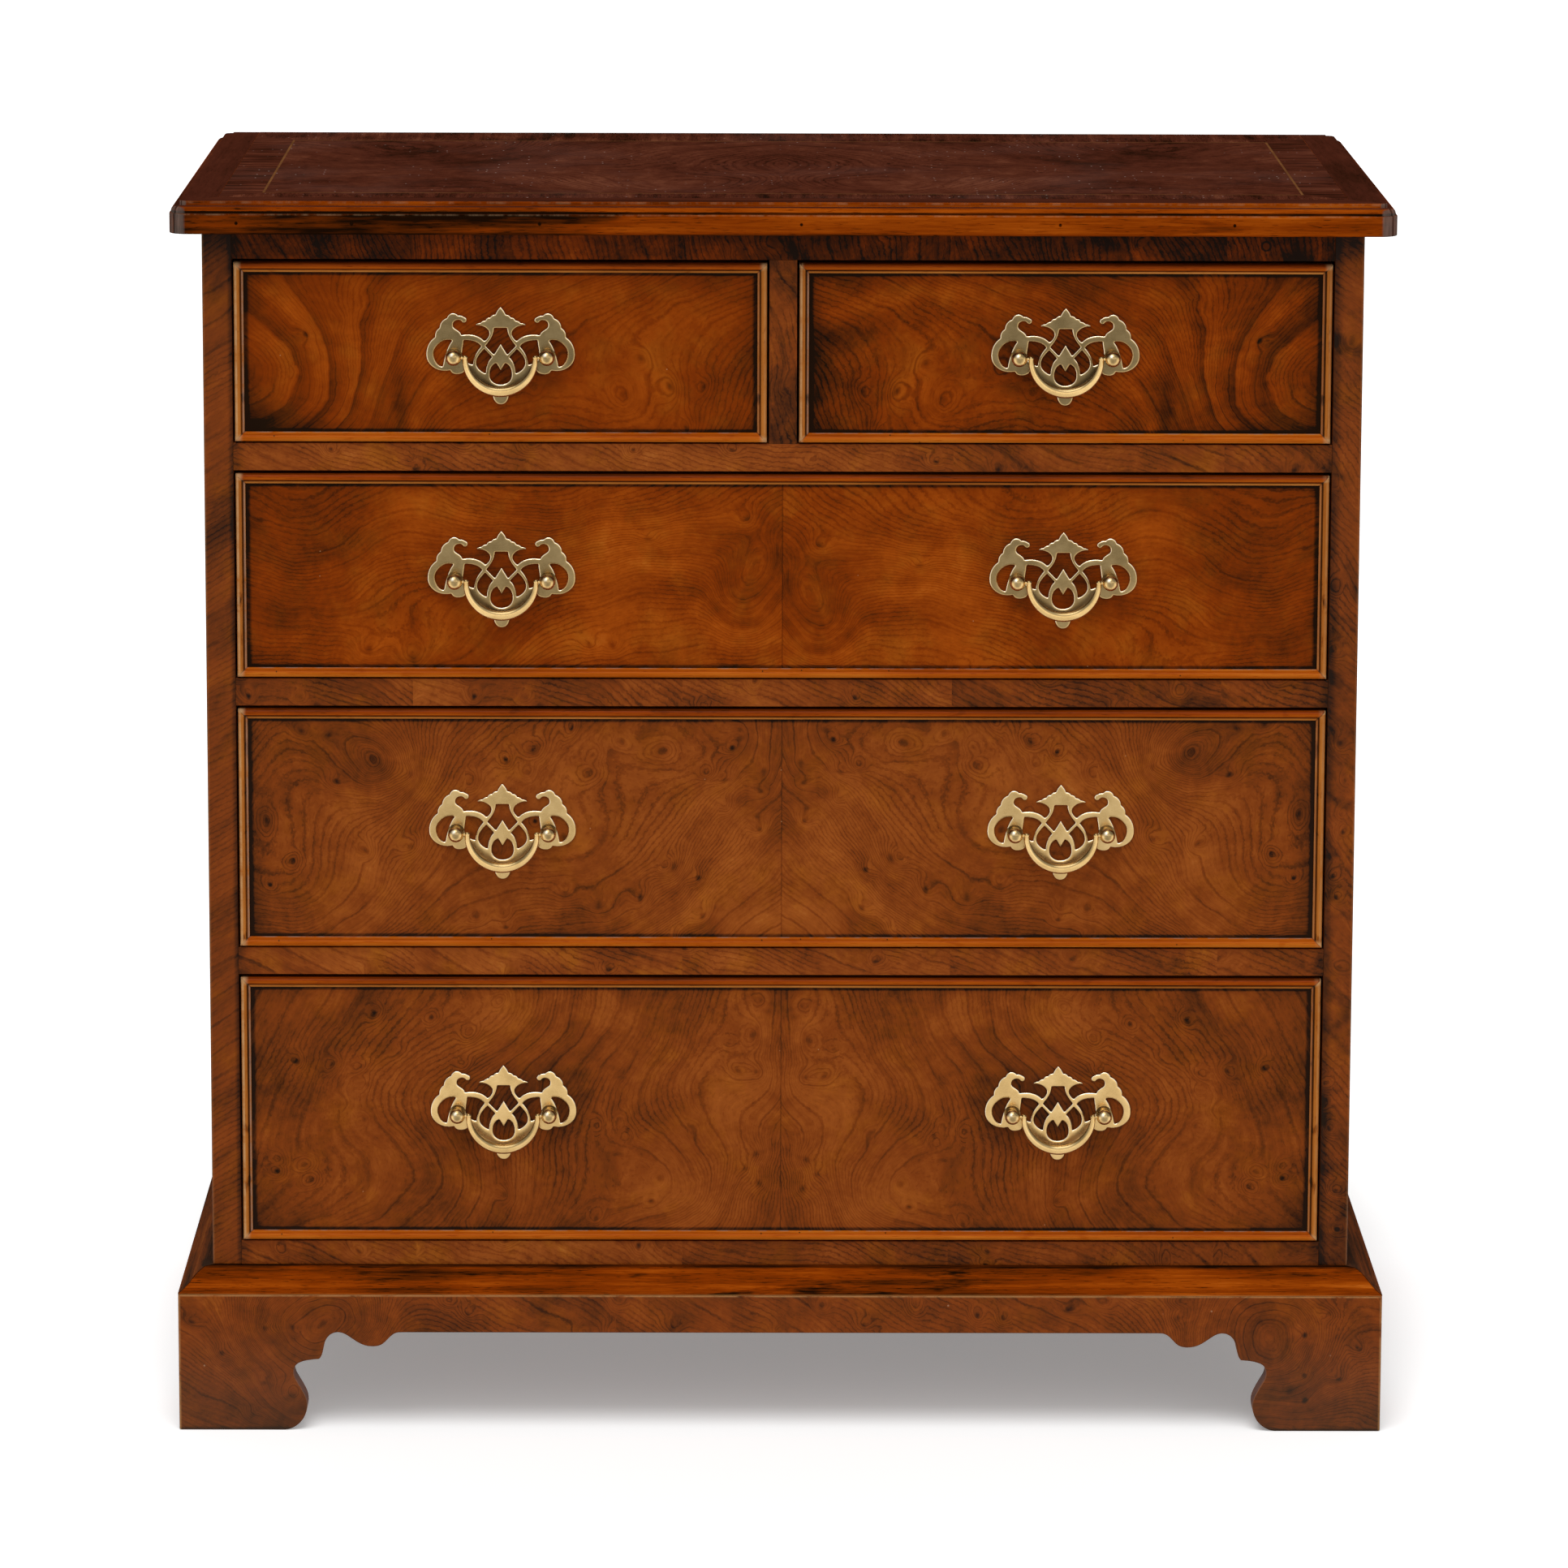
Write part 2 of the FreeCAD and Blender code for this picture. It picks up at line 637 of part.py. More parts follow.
def save_drawer(name, x0, x1, row, handles):
    """All pieces of one drawer; handles holds (name of the bail, x of the handle)."""
    floor = row_floors[row]
    left = x0 + drawer_side_gap
    right = x1 - drawer_side_gap
    z0 = floor + drawer_lower_gap
    z1 = floor + row_heights[row] - drawer_upper_gap
    front, sides, back, bottom = drawer_box(left, right, floor, z0, z1)
    z_handle = floor + row_heights[row] / 2 - handle_drop
    plates = []
    posts = []
    for bail_name, x in handles:
        plates.append(moved(plate_shape, x, z_handle))
        for post, nut in ((post_shape, nut_shape), (mirrored(post_shape), mirrored(nut_shape))):
            posts.append(moved(post, x, z_handle))
            posts.append(moved(nut, x, z_handle))
        for side in (-1, 1):
            centre = Vector(x + side * bolt_centres / 2, y_front, z_handle)
            front = front.cut(Part.makeCylinder(shank_radius + bolt_clearance, front_thickness, centre,
                                                Vector(0, 1, 0)))
        save(bail_name, [moved(bail_shape, x, z_handle)])
    save(name + "_front", [front])
    save(name + "_beading", bead_frame(left, right, z0, z1))
    save(name + "_sides", sides)
    save(name + "_back", [back])
    save(name + "_bottom", [bottom])
    save(name + "_handle_plates", plates)
    save(name + "_handle_posts", posts)


os.makedirs("parts", exist_ok=True)

# Carcase
rails = [tenoned_board(y_rail_back, floor + height, floor + height + rail_height)
         for floor, height in zip(row_floors, row_heights)]
divider = divider_board(row_floors[-1], row_floors[-1] + row_heights[-1])
bottom_board = tenoned_board(y_panel, z_carcase, z_carcase + bottom_thickness)
boards_behind = back_boards()
runner_levels = [floor + height for floor, height in zip(row_floors, row_heights)]
runners = [runner for z in runner_levels for runner in side_runners(z)]
runners += [centre_runner(z) for z in runner_levels[-2:]]
guide = box(-divider_width / 2, divider_width / 2, y_rail_back, y_panel, row_floors[-1],
            row_floors[-1] + guide_height)
right_side = box(inner_half, half_width, y_front, y_back, z_carcase, z_top)
right_side = right_side.cut(rails + [bottom_board] + boards_behind + runners)
save("right_side", [right_side])
save("left_side", [mirrored(right_side)])
save("bottom_board", [bottom_board])
save("drawer_rails", rails[:-2] + [rails[-2].cut(divider)])
save("top_rail", [rails[-1].cut(divider)])
save("divider", [divider])
save("runners", runners + [guide])
save("back_boards", boards_behind)

# Top
inlay = stringing()
save("top_panel", [top_panel(inlay)])
save("top_stringing", inlay)
save("top_edging", top_edging())

# Base
plinth_front, plinth_right = plinth_boards()
save("base_frame", base_frame())
save("plinth_front", [plinth_front])
save("plinth_sides", [plinth_right, mirrored(plinth_right)])
bracket = rear_bracket()
save("rear_foot_brackets", [bracket, mirrored(bracket)])
save("corner_blocks", corner_blocks())

# Drawers and handles
plate_shape = handle_plate()
post_shape = handle_post()
nut_shape = handle_nut()
bail_shape = bail()
x_near = divider_width / 2
x_handle = (x_near + inner_half) / 2
top_row = len(row_heights) - 1
save_drawer("upper_left_drawer", -inner_half, -x_near, top_row, [("upper_left_drawer_bail", -x_handle)])
save_drawer("upper_right_drawer", x_near, inner_half, top_row, [("upper_right_drawer_bail", x_handle)])
for row, name in enumerate(["lower_drawer", "middle_drawer", "upper_drawer"]):
    pair = [(name + "_left_bail", -x_handle), (name + "_right_bail", x_handle)]
    save_drawer(name, -inner_half, inner_half, row, pair)
stops = []
for floor in row_floors[:-1]:
    stops += drawer_stops(-inner_half, inner_half, floor)
stops += drawer_stops(-inner_half, -x_near, row_floors[-1])
stops += drawer_stops(x_near, inner_half, row_floors[-1])
save("drawer_stops", stops)
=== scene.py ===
import math
import bpy
from mathutils import Matrix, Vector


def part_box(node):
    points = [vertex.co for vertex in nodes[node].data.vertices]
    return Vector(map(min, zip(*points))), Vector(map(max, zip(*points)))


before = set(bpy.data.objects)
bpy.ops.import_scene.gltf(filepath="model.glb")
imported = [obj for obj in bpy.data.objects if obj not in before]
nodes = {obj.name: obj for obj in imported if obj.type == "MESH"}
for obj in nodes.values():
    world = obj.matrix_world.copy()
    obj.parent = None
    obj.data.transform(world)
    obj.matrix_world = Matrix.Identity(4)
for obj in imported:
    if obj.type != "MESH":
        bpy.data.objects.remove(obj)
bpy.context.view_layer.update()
DRAWERS = ["upper_left_drawer", "upper_right_drawer", "upper_drawer", "middle_drawer", "lower_drawer"]
DULL_DRAWERS = ["middle_drawer", "lower_drawer"]


# Shader arithmetic

class Num:
    """A number worked out by nodes: the operators add Math nodes."""

    def __init__(self, graph, socket):
        self.graph = graph
        self.socket = socket

    def __add__(self, other):
        return self.graph.calc("ADD", self, other)

    def __sub__(self, other):
        return self.graph.calc("SUBTRACT", self, other)

    def __rsub__(self, other):
        return self.graph.calc("SUBTRACT", other, self)

    def __mul__(self, other):
        return self.graph.calc("MULTIPLY", self, other)

    def __pow__(self, other):
        return self.graph.calc("POWER", self, other)

    __radd__ = __add__


class Graph:
    """One material and short ways to add nodes to it. Places are object coordinates in metres."""

    def __init__(self, name):
        self.material = bpy.data.materials.new(name)
        self.material.use_nodes = True
        self.tree = self.material.node_tree
        self.shader = self.tree.nodes["Principled BSDF"]
        coords = self.add("ShaderNodeTexCoord")
        self.x, self.y, self.z = self.split(coords.outputs["Object"])
        self.nx, self.ny, self.nz = self.split(coords.outputs["Normal"])

    def add(self, kind, **settings):
        node = self.tree.nodes.new(kind)
        for key, value in settings.items():
            setattr(node, key, value)
        return node

    def feed(self, socket, value):
        value = getattr(value, "socket", value)
        if isinstance(value, bpy.types.NodeSocket):
            self.tree.links.new(value, socket)
        else:
            socket.default_value = value

    def split(self, vector):
        node = self.add("ShaderNodeSeparateXYZ")
        self.feed(node.inputs[0], vector)
        return [Num(self, output) for output in node.outputs]

    def calc(self, operation, *values, clamp=False):
        node = self.add("ShaderNodeMath", operation=operation, use_clamp=clamp)
        for socket, value in zip(node.inputs, values):
            self.feed(socket, value)
        return Num(self, node.outputs[0])

    def point(self, a, b, c=0.0):
        node = self.add("ShaderNodeCombineXYZ")
        for socket, value in zip(node.inputs, (a, b, c)):
            self.feed(socket, value)
        return node.outputs[0]

    def scaled(self, place, scale, shift=(0.0, 0.0, 0.0)):
        node = self.add("ShaderNodeVectorMath", operation="MULTIPLY_ADD")
        self.feed(node.inputs[0], place)
        self.feed(node.inputs[1], scale)
        self.feed(node.inputs[2], shift)
        return node.outputs[0]

    def noise_node(self, place, scale, detail, rough):
        node = self.add("ShaderNodeTexNoise")
        self.feed(node.inputs["Vector"], place)
        node.inputs["Scale"].default_value = scale
        node.inputs["Detail"].default_value = detail
        node.inputs["Roughness"].default_value = rough
        return node

    def noise(self, place, scale, detail=2.0, rough=0.5):
        return Num(self, self.noise_node(place, scale, detail, rough).outputs["Fac"])

    def warped(self, place, scale, amount):
        """The place pushed about by a noise, by up to about half the amount."""
        push = self.noise_node(place, scale, 2.0, 0.5).outputs["Color"]
        centred = self.scaled(push, (amount, amount, 0.0), (-amount / 2, -amount / 2, 0.0))
        node = self.add("ShaderNodeVectorMath", operation="ADD")
        self.feed(node.inputs[0], place)
        self.feed(node.inputs[1], centred)
        return node.outputs[0]

    def hill(self, place, centre, size):
        """1 at the centre, falling off smoothly over the size."""
        scale = (1 / size[0], 1 / size[1], 0.0)
        shift = (-centre[0] / size[0], -centre[1] / size[1], 0.0)
        offset = self.scaled(place, scale, shift)
        dot = self.add("ShaderNodeVectorMath", operation="DOT_PRODUCT")
        self.feed(dot.inputs[0], offset)
        self.feed(dot.inputs[1], offset)
        return self.calc("POWER", 1 / math.e, Num(self, dot.outputs["Value"]))

    def cells(self, place, scale):
        """Distance to the nearest of some scattered points, and two numbers that go with that point."""
        node = self.add("ShaderNodeTexVoronoi", voronoi_dimensions="2D")
        self.feed(node.inputs["Vector"], place)
        node.inputs["Scale"].default_value = scale
        first, second, _ = self.split(node.outputs["Color"])
        return Num(self, node.outputs["Distance"]), first, second

    def rise(self, value, low, high):
        """0 below low, 1 above high, smooth between."""
        node = self.add("ShaderNodeMapRange", interpolation_type="SMOOTHSTEP")
        self.feed(node.inputs["Value"], value)
        node.inputs["From Min"].default_value = low
        node.inputs["From Max"].default_value = high
        return Num(self, node.outputs["Result"])

    def fall(self, value, low, high):
        return 1.0 - self.rise(value, low, high)

    def past(self, value, blur=0.0001):
        """0 where the value is below zero, 1 where it is above."""
        return self.rise(value, -blur, blur)

    def least(self, first, second):
        return self.calc("MINIMUM", first, second)

    def most(self, *values):
        kept = values[0]
        for value in values[1:]:
            kept = self.calc("MAXIMUM", kept, value)
        return kept

    def size_of(self, value):
        return self.calc("ABSOLUTE", value)

    def choose(self, share, low, high):
        """low where share is 0, high where it is 1."""
        node = self.add("ShaderNodeMix", data_type="FLOAT")
        for socket, value in zip((node.inputs[0], node.inputs[2], node.inputs[3]), (share, low, high)):
            self.feed(socket, value)
        return Num(self, node.outputs[0])

    def blend(self, share, low, high):
        """The colour low where share is 0, high where it is 1."""
        node = self.add("ShaderNodeMix", data_type="RGBA")
        self.feed(node.inputs[0], share)
        for socket, colour in ((node.inputs[6], low), (node.inputs[7], high)):
            self.feed(socket, colour if hasattr(colour, "node") else (*colour, 1.0))
        return node.outputs[2]

    def ramp(self, tone, colours):
        """A colour from evenly spaced stops."""
        node = self.add("ShaderNodeValToRGB")
        stops = node.color_ramp.elements
        while len(stops) < len(colours):
            stops.new(0.5)
        for i in range(len(colours)):
            stops[i].position = i / (len(colours) - 1)
        for i, colour in enumerate(colours):
            stops[i].color = (*colour, 1.0)
        self.feed(node.inputs[0], tone)
        return node.outputs[0]

    def finish(self, colour, rough, height=None, depth=0.0, strength=0.0, **constants):
        """Links the shader, with a bump where a height is given; constants are set on its own sockets."""
        self.feed(self.shader.inputs["Base Color"], colour)
        self.feed(self.shader.inputs["Roughness"], rough)
        for key, value in constants.items():
            self.shader.inputs[key.replace("_", " ")].default_value = value
        if height is not None:
            bump = self.add("ShaderNodeBump")
            bump.inputs["Strength"].default_value = strength
            bump.inputs["Distance"].default_value = depth
            self.feed(bump.inputs["Height"], height)
            self.feed(self.shader.inputs["Normal"], bump.outputs[0])
        return self.material


# Woods

WALNUT = [(0.010, 0.0035, 0.0010), (0.080, 0.0145, 0.0010), (0.198, 0.0300, 0.0008), (0.320, 0.060, 0.0025),
          (0.490, 0.130, 0.0120)]
DULL_WALNUT = [(0.014, 0.006, 0.0030), (0.089, 0.0218, 0.0044), (0.198, 0.0416, 0.0056),
               (0.300, 0.0750, 0.0102), (0.430, 0.145, 0.0255)]
RED_WALNUT = [(0.010, 0.004, 0.002), (0.034, 0.009, 0.004), (0.068, 0.016, 0.008), (0.098, 0.025, 0.012),
              (0.150, 0.045, 0.022)]
ORANGE = [(0.012, 0.004, 0.001), (0.100, 0.016, 0.0006), (0.250, 0.038, 0.0008), (0.390, 0.080, 0.0025),
          (0.540, 0.160, 0.014)]
GOLDEN = [(0.016, 0.007, 0.002), (0.120, 0.030, 0.003), (0.270, 0.074, 0.009), (0.420, 0.140, 0.022),
          (0.580, 0.240, 0.060)]
GILT = [(0.014, 0.006, 0.001), (0.105, 0.026, 0.0015), (0.225, 0.056, 0.0030), (0.350, 0.104, 0.0060),
        (0.510, 0.195, 0.020)]
OAK = [(0.15, 0.072, 0.026), (0.28, 0.148, 0.058), (0.39, 0.222, 0.094), (0.50, 0.310, 0.145)]
PINE = [(0.12, 0.056, 0.020), (0.23, 0.120, 0.046), (0.33, 0.182, 0.076), (0.42, 0.250, 0.115)]
INLAY = [(0.060, 0.022, 0.009), (0.16, 0.062, 0.020), (0.27, 0.120, 0.040)]
GREY_CORNER = [(0.020, 0.014, 0.011), (0.070, 0.052, 0.044), (0.150, 0.105, 0.085), (0.36, 0.28, 0.23)]

# Wear and dirt, and painted highlights, reflections and shade
FLECK = (0.50, 0.27, 0.12)
BEAD_HIGHLIGHT = (0.58, 0.36, 0.17)
BEAD_GREY_REFLECTION = (0.27, 0.185, 0.140)
NICK = (0.030, 0.012, 0.003)
RUBBED_STILE = (0.40, 0.19, 0.075)
DUST = (0.36, 0.24, 0.20)
DUST_FILM = (0.20, 0.12, 0.10)
EDGING_HIGHLIGHT = (0.42, 0.26, 0.14)
MOULDING_SIDE_SHADE = (0.075, 0.042, 0.027)
MOULDING_LIP_WEAR_AND_HIGHLIGHT = (0.50, 0.22, 0.060)
PLINTH_GRIME = (0.085, 0.050, 0.030)
PLINTH_WEAR_AND_HIGHLIGHT = (0.52, 0.27, 0.100)
SCUFFED_PLINTH = (0.50, 0.30, 0.17)
PLINTH_UNDERSIDE_SHADE = (0.060, 0.028, 0.012)

# Lengths that the looks are laid out by, in metres. A PLACE or SIZE pair is across and up, PIN_PLACES are
# across, and any other pair says where a change begins and ends.
OPENING_HALF = 0.375
CARCASE_HALF = 0.395
STILE_TOP = (0.800, 0.835)
HANDLE_ACROSS = 0.1921
HANDLE_DROP = 0.0026
HANDLE_SHADE_SIZE = (0.045, 0.027)
BEAD_INSET = 0.0075
BEAD_FOOT = (0.020, 0.030)
BEAD_GROOVE = 0.0046
BEAD_SHELF = (0.0047, 0.0052)
BEAD_OUTER = 0.0012
BEAD_INNER = 0.0058
BEAD_BROW = (0.0058, 0.0063)
RAIL_PIECE = 0.185
PLUG_PLACE = (0.328, 0.8262)
PLUG_RADIUS = 0.0030
EDGING_BELOW = (0.8352, 0.8368)
EDGING_FASCIA = (0.8484, 0.8490)
EDGING_ARRIS = 0.8484
EDGING_QUIRK = 0.8498
EDGING_BRINK = 0.8560
PIN_PLACES = (-0.370, -0.292, -0.165, 0.012, 0.187, 0.305)
PIN_HEIGHT = 0.8425
PIN_SIZE = (0.0011, 0.0012)
MOULDING_FOOT = (0.0972, 0.0980)
MOULDING_HEAD = (0.1116, 0.1129)
PLINTH_FLOOR = (0.0006, 0.0030)
PLINTH_HEAD = (0.0951, 0.0966)
PLINTH_CORNER = (0.4160, 0.4176)

# Steps of a burr's field from one growth line to the next
GROWTH_SPACING = 0.0061
FINE_SPACING = 0.00125
BOLD_SPACING = 0.0150


def burr(graph, u, v, seed, lean, burl, lines, hills=(), eyes=(), patches=(), bold=(), wave=1.0, level=0.57,
         contrast=1.0):
    """Tone of a figured veneer laid in the plane u, v: 0 dark, 1 light.

    Growth lines are the contours of a sloping field that hills and eyes push up, and pores and
    streaks follow them. burl sets how many small eyes there are, lines how dark the growth lines are.
    """
    flat = graph.point(u, v, seed)
    bent = graph.warped(flat, 7.0, 0.05 * wave)
    place = graph.warped(bent, 40.0, 0.006)
    pu, pv, _ = graph.split(place)
    field = pu * lean[0] + pv * lean[1]
    for centre_u, centre_v, size_u, size_v, amount in hills:
        field = field + graph.hill(place, (centre_u, centre_v), (size_u, size_v)) * amount
    knots = 0.0
    for centre_u, centre_v, size in eyes:
        around = graph.hill(place, (centre_u, centre_v), (size, size * 0.9))
        field = field + around * (size * 0.5)
        knots = around ** 12.0 + knots
    near, chance, kind = graph.cells(place, 44.0)
    dense = graph.rise(graph.noise(flat, 13.0, 1.0), 0.62 - 0.35 * burl, 0.80 - 0.35 * burl)
    eyed = graph.rise(chance, 0.62, 0.66) * dense
    field = field + graph.fall(near, 0.0, 0.48) * eyed * 0.0042
    pip = graph.fall(near, 0.02, 0.13) * eyed * kind
    ragged = field + (graph.noise(place, 380.0, 2.0, 0.6) - 0.5) * 0.0010

    def flow(across, along, detail):
        return graph.noise(graph.point(field * across, pu * along, pv * along + seed), 1.0, detail, 0.55)

    def line(spacing, width):
        saw = graph.calc("FRACT", ragged * (1 / spacing))
        return graph.rise(graph.size_of(saw - 0.5), 0.5 - width, 0.5)

    shade = graph.noise(bent, 11.0, 3.0, 0.55) - 0.5
    mottle = graph.noise(place, 75.0, 3.0, 0.6) - 0.5
    sheen = graph.noise(place, 260.0, 2.0, 0.6) - 0.5
    bands = flow(110.0, 9.0, 2.0) - 0.5
    streak = flow(1300.0, 34.0, 2.0) - 0.5
    dash = graph.rise(flow(4600.0, 260.0, 1.0), 0.58, 0.68)
    fade = graph.noise(flat, 17.0, 2.0)
    growth = line(GROWTH_SPACING, 0.10) * graph.rise(fade, 0.40, 0.66)
    fine = line(FINE_SPACING, 0.24) * graph.fall(fade, 0.36, 0.70)
    tone = shade * 0.50 + mottle * 0.32 + sheen * 0.14 + bands * 0.34 + streak * 0.17
    tone = tone - fine * 0.14 - growth * (0.34 * lines) - pip * 0.32 - dash * 0.06
    tone = tone * contrast + level
    if eyes:
        tone = tone - knots * 0.24
    for centre_u, centre_v, size_u, size_v, amount in patches:
        tone = tone + graph.hill(bent, (centre_u, centre_v), (size_u, size_v)) * amount
    for centre_u, centre_v, size_u, size_v, amount in bold:
        saw = graph.calc("FRACT", field * (1 / BOLD_SPACING))
        stripe = saw * saw * graph.fall(saw, 0.88, 1.0) - 0.28
        tone = tone - graph.hill(bent, (centre_u, centre_v), (size_u, size_v)) * stripe * amount
    return tone


def gilded(graph, tone, colours, u, v, seed, share=0.36):
    """Colour of a veneer that turns golden here and there."""
    gold = graph.rise(graph.noise(graph.point(u, v, seed + 5.0), 30.0, 4.0, 0.65), 0.46, 0.70)
    return graph.blend(gold * share, graph.ramp(tone, colours), graph.ramp(tone, GILT))


def streaks(graph, along, across, depth, seed, length, width):
    """Tone of a straight-grained board: along runs with the grain, length and width are its scales."""
    place = graph.point(along * length, across * width, depth * width + seed)
    bands = graph.noise(place, 1.0, 4.0, 0.6) - 0.5
    long = graph.point(along * (length * 2.5), across * (width * 0.22), depth * (width * 0.22) + seed)
    cloud = graph.noise(long, 1.0, 2.0) - 0.5
    hair = graph.point(along * (length * 12), across * (width * 8), depth * (width * 8) + seed)
    fibre = graph.noise(hair, 1.0, 2.0) - 0.5
    dash = graph.point(along * 110.0, across * 1500.0, depth * 1500.0 + seed)
    pore = graph.rise(graph.noise(dash, 1.0, 1.0), 0.62, 0.72)
    return 0.52 + bands * 0.75 + cloud * 0.55 + fibre * 0.35 - pore * 0.20


def specks(graph, a, b, scale, share, size):
    """Scattered small dots: 1 on a dot."""
    near, chance, _ = graph.cells(graph.point(a, b), scale)
    return graph.fall(near, size * 0.5, size) * graph.rise(chance, 1.0 - share, 1.0 - share + 0.02)


def edge_dirt_and_shade(graph, low_a, high_a, low_b, high_b, a, b):
    """Darkness along the four edges of a panel, widest at the ends and in the corners: dirt, with painted
    shade in a thin rim at the edge.
    """
    side = graph.least(a - low_a, high_a - a)
    head = graph.least(b - low_b, high_b - b)
    blot = graph.noise(graph.point(a, b, 4.0), 26.0, 3.0, 0.6)

    def fading(distance, reach):
        return graph.calc("POWER", 1 / math.e, distance * (1 / reach))

    wide = fading(side, 0.012) * (blot * 1.6 - 0.2)
    slim = fading(head, 0.0035) * blot
    corner = fading(side + head, 0.020) * blot
    rim = graph.fall(graph.least(side * 0.6, head), 0.0004, 0.0019)
    return graph.calc("ADD", wide * 0.42 + slim * 0.34 + corner * 0.45, rim * 0.55, clamp=True)


# Figure of each drawer row: places and sizes in metres, across from the middle of the chest and up from
# the floor. The halves are book-matched, the right one lower by slip. hills, patches and bold are (across,
# up, size, size, amount), eyes are (across, up, size).
ROWS = {
    "upper_left_drawer": dict(
        lean=(0.16, 0.30), seed=3.1, burl=0.30, lines=0.50, slip=0.0, level=0.51,
        hills=[(0.372, 0.722, 0.085, 0.078, 0.062), (0.10, 0.700, 0.10, 0.05, 0.020),
               (0.19, 0.830, 0.09, 0.04, 0.015)],
        eyes=[(0.117, 0.724, 0.011), (0.087, 0.731, 0.009), (0.106, 0.743, 0.007), (0.060, 0.735, 0.007),
              (0.075, 0.712, 0.007)],
        patches=[(0.267, 0.718, 0.006, 0.022, -0.20), (0.240, 0.750, 0.022, 0.045, 0.14),
                 (0.340, 0.790, 0.020, 0.020, 0.12), (0.362, 0.700, 0.030, 0.022, -0.36),
                 (0.100, 0.775, 0.070, 0.022, 0.10), (0.130, 0.715, 0.070, 0.020, 0.07)],
        bold=[(0.325, 0.755, 0.060, 0.070, 0.44)]),
    "upper_drawer": dict(
        lean=(0.05, 0.36), seed=7.7, burl=0.22, lines=0.30, slip=0.018, level=0.57, contrast=1.25,
        hills=[(0.031, 0.596, 0.019, 0.032, 0.022), (0.25, 0.55, 0.06, 0.03, 0.014),
               (0.15, 0.66, 0.10, 0.04, 0.016), (0.33, 0.62, 0.05, 0.05, 0.015)],
        eyes=[(0.284, 0.549, 0.010), (0.143, 0.547, 0.007), (0.128, 0.547, 0.007), (0.038, 0.646, 0.008),
              (0.096, 0.626, 0.008), (0.252, 0.546, 0.011)],
        patches=[(0.242, 0.638, 0.040, 0.022, 0.16), (0.110, 0.620, 0.050, 0.032, 0.20),
                 (0.031, 0.596, 0.006, 0.016, -0.10), (0.150, 0.560, 0.060, 0.020, 0.12),
                 (0.060, 0.555, 0.050, 0.016, 0.10), (0.345, 0.600, 0.035, 0.060, -0.10)]),
    "middle_drawer": dict(
        lean=(0.20, 0.28), seed=12.4, burl=0.95, lines=0.40, slip=-0.006, level=0.55, contrast=1.42,
        hills=[(0.287, 0.470, 0.034, 0.030, 0.020), (0.12, 0.40, 0.09, 0.06, 0.024),
               (0.33, 0.38, 0.07, 0.06, 0.024), (0.05, 0.47, 0.05, 0.04, 0.016)],
        eyes=[(0.287, 0.470, 0.018), (0.177, 0.480, 0.011), (0.094, 0.482, 0.010), (0.136, 0.465, 0.010),
              (0.038, 0.482, 0.009), (0.019, 0.460, 0.008), (0.045, 0.452, 0.008), (0.083, 0.393, 0.011),
              (0.138, 0.374, 0.010), (0.160, 0.379, 0.008), (0.330, 0.492, 0.008), (0.312, 0.488, 0.007)],
        patches=[(0.200, 0.440, 0.060, 0.030, 0.09), (0.040, 0.400, 0.040, 0.040, 0.08),
                 (0.320, 0.420, 0.040, 0.050, -0.06), (0.290, 0.468, 0.018, 0.016, -0.14),
                 (0.080, 0.455, 0.050, 0.030, 0.08)]),
    "lower_drawer": dict(
        lean=(0.30, 0.14), seed=21.9, burl=0.55, lines=0.38, slip=0.004, level=0.52, contrast=1.38,
        hills=[(0.080, 0.165, 0.055, 0.045, 0.026), (0.19, 0.285, 0.07, 0.05, 0.018),
               (0.26, 0.16, 0.08, 0.05, 0.020), (0.02, 0.25, 0.03, 0.05, 0.012)],
        eyes=[(0.022, 0.274, 0.010), (0.022, 0.248, 0.008), (0.034, 0.246, 0.008), (0.022, 0.183, 0.010),
              (0.019, 0.163, 0.009), (0.030, 0.172, 0.007)],
        patches=[(0.208, 0.292, 0.025, 0.018, 0.18), (0.110, 0.200, 0.040, 0.030, -0.05),
                 (0.060, 0.250, 0.040, 0.040, 0.07), (0.345, 0.220, 0.030, 0.080, -0.08)]),
}
ROWS["upper_right_drawer"] = dict(
    ROWS["upper_left_drawer"], slip=0.003, level=0.44, contrast=1.35,
    patches=[(0.267, 0.718, 0.006, 0.022, -0.20), (0.240, 0.750, 0.022, 0.045, 0.10),
             (0.340, 0.790, 0.020, 0.020, 0.08), (0.362, 0.700, 0.030, 0.022, -0.16),
             (0.100, 0.775, 0.070, 0.022, 0.08), (0.130, 0.715, 0.070, 0.020, 0.07),
             (0.014, 0.745, 0.018, 0.060, -0.24), (0.050, 0.772, 0.034, 0.010, -0.24),
             (0.090, 0.795, 0.060, 0.010, 0.18), (0.350, 0.760, 0.050, 0.060, -0.06)])


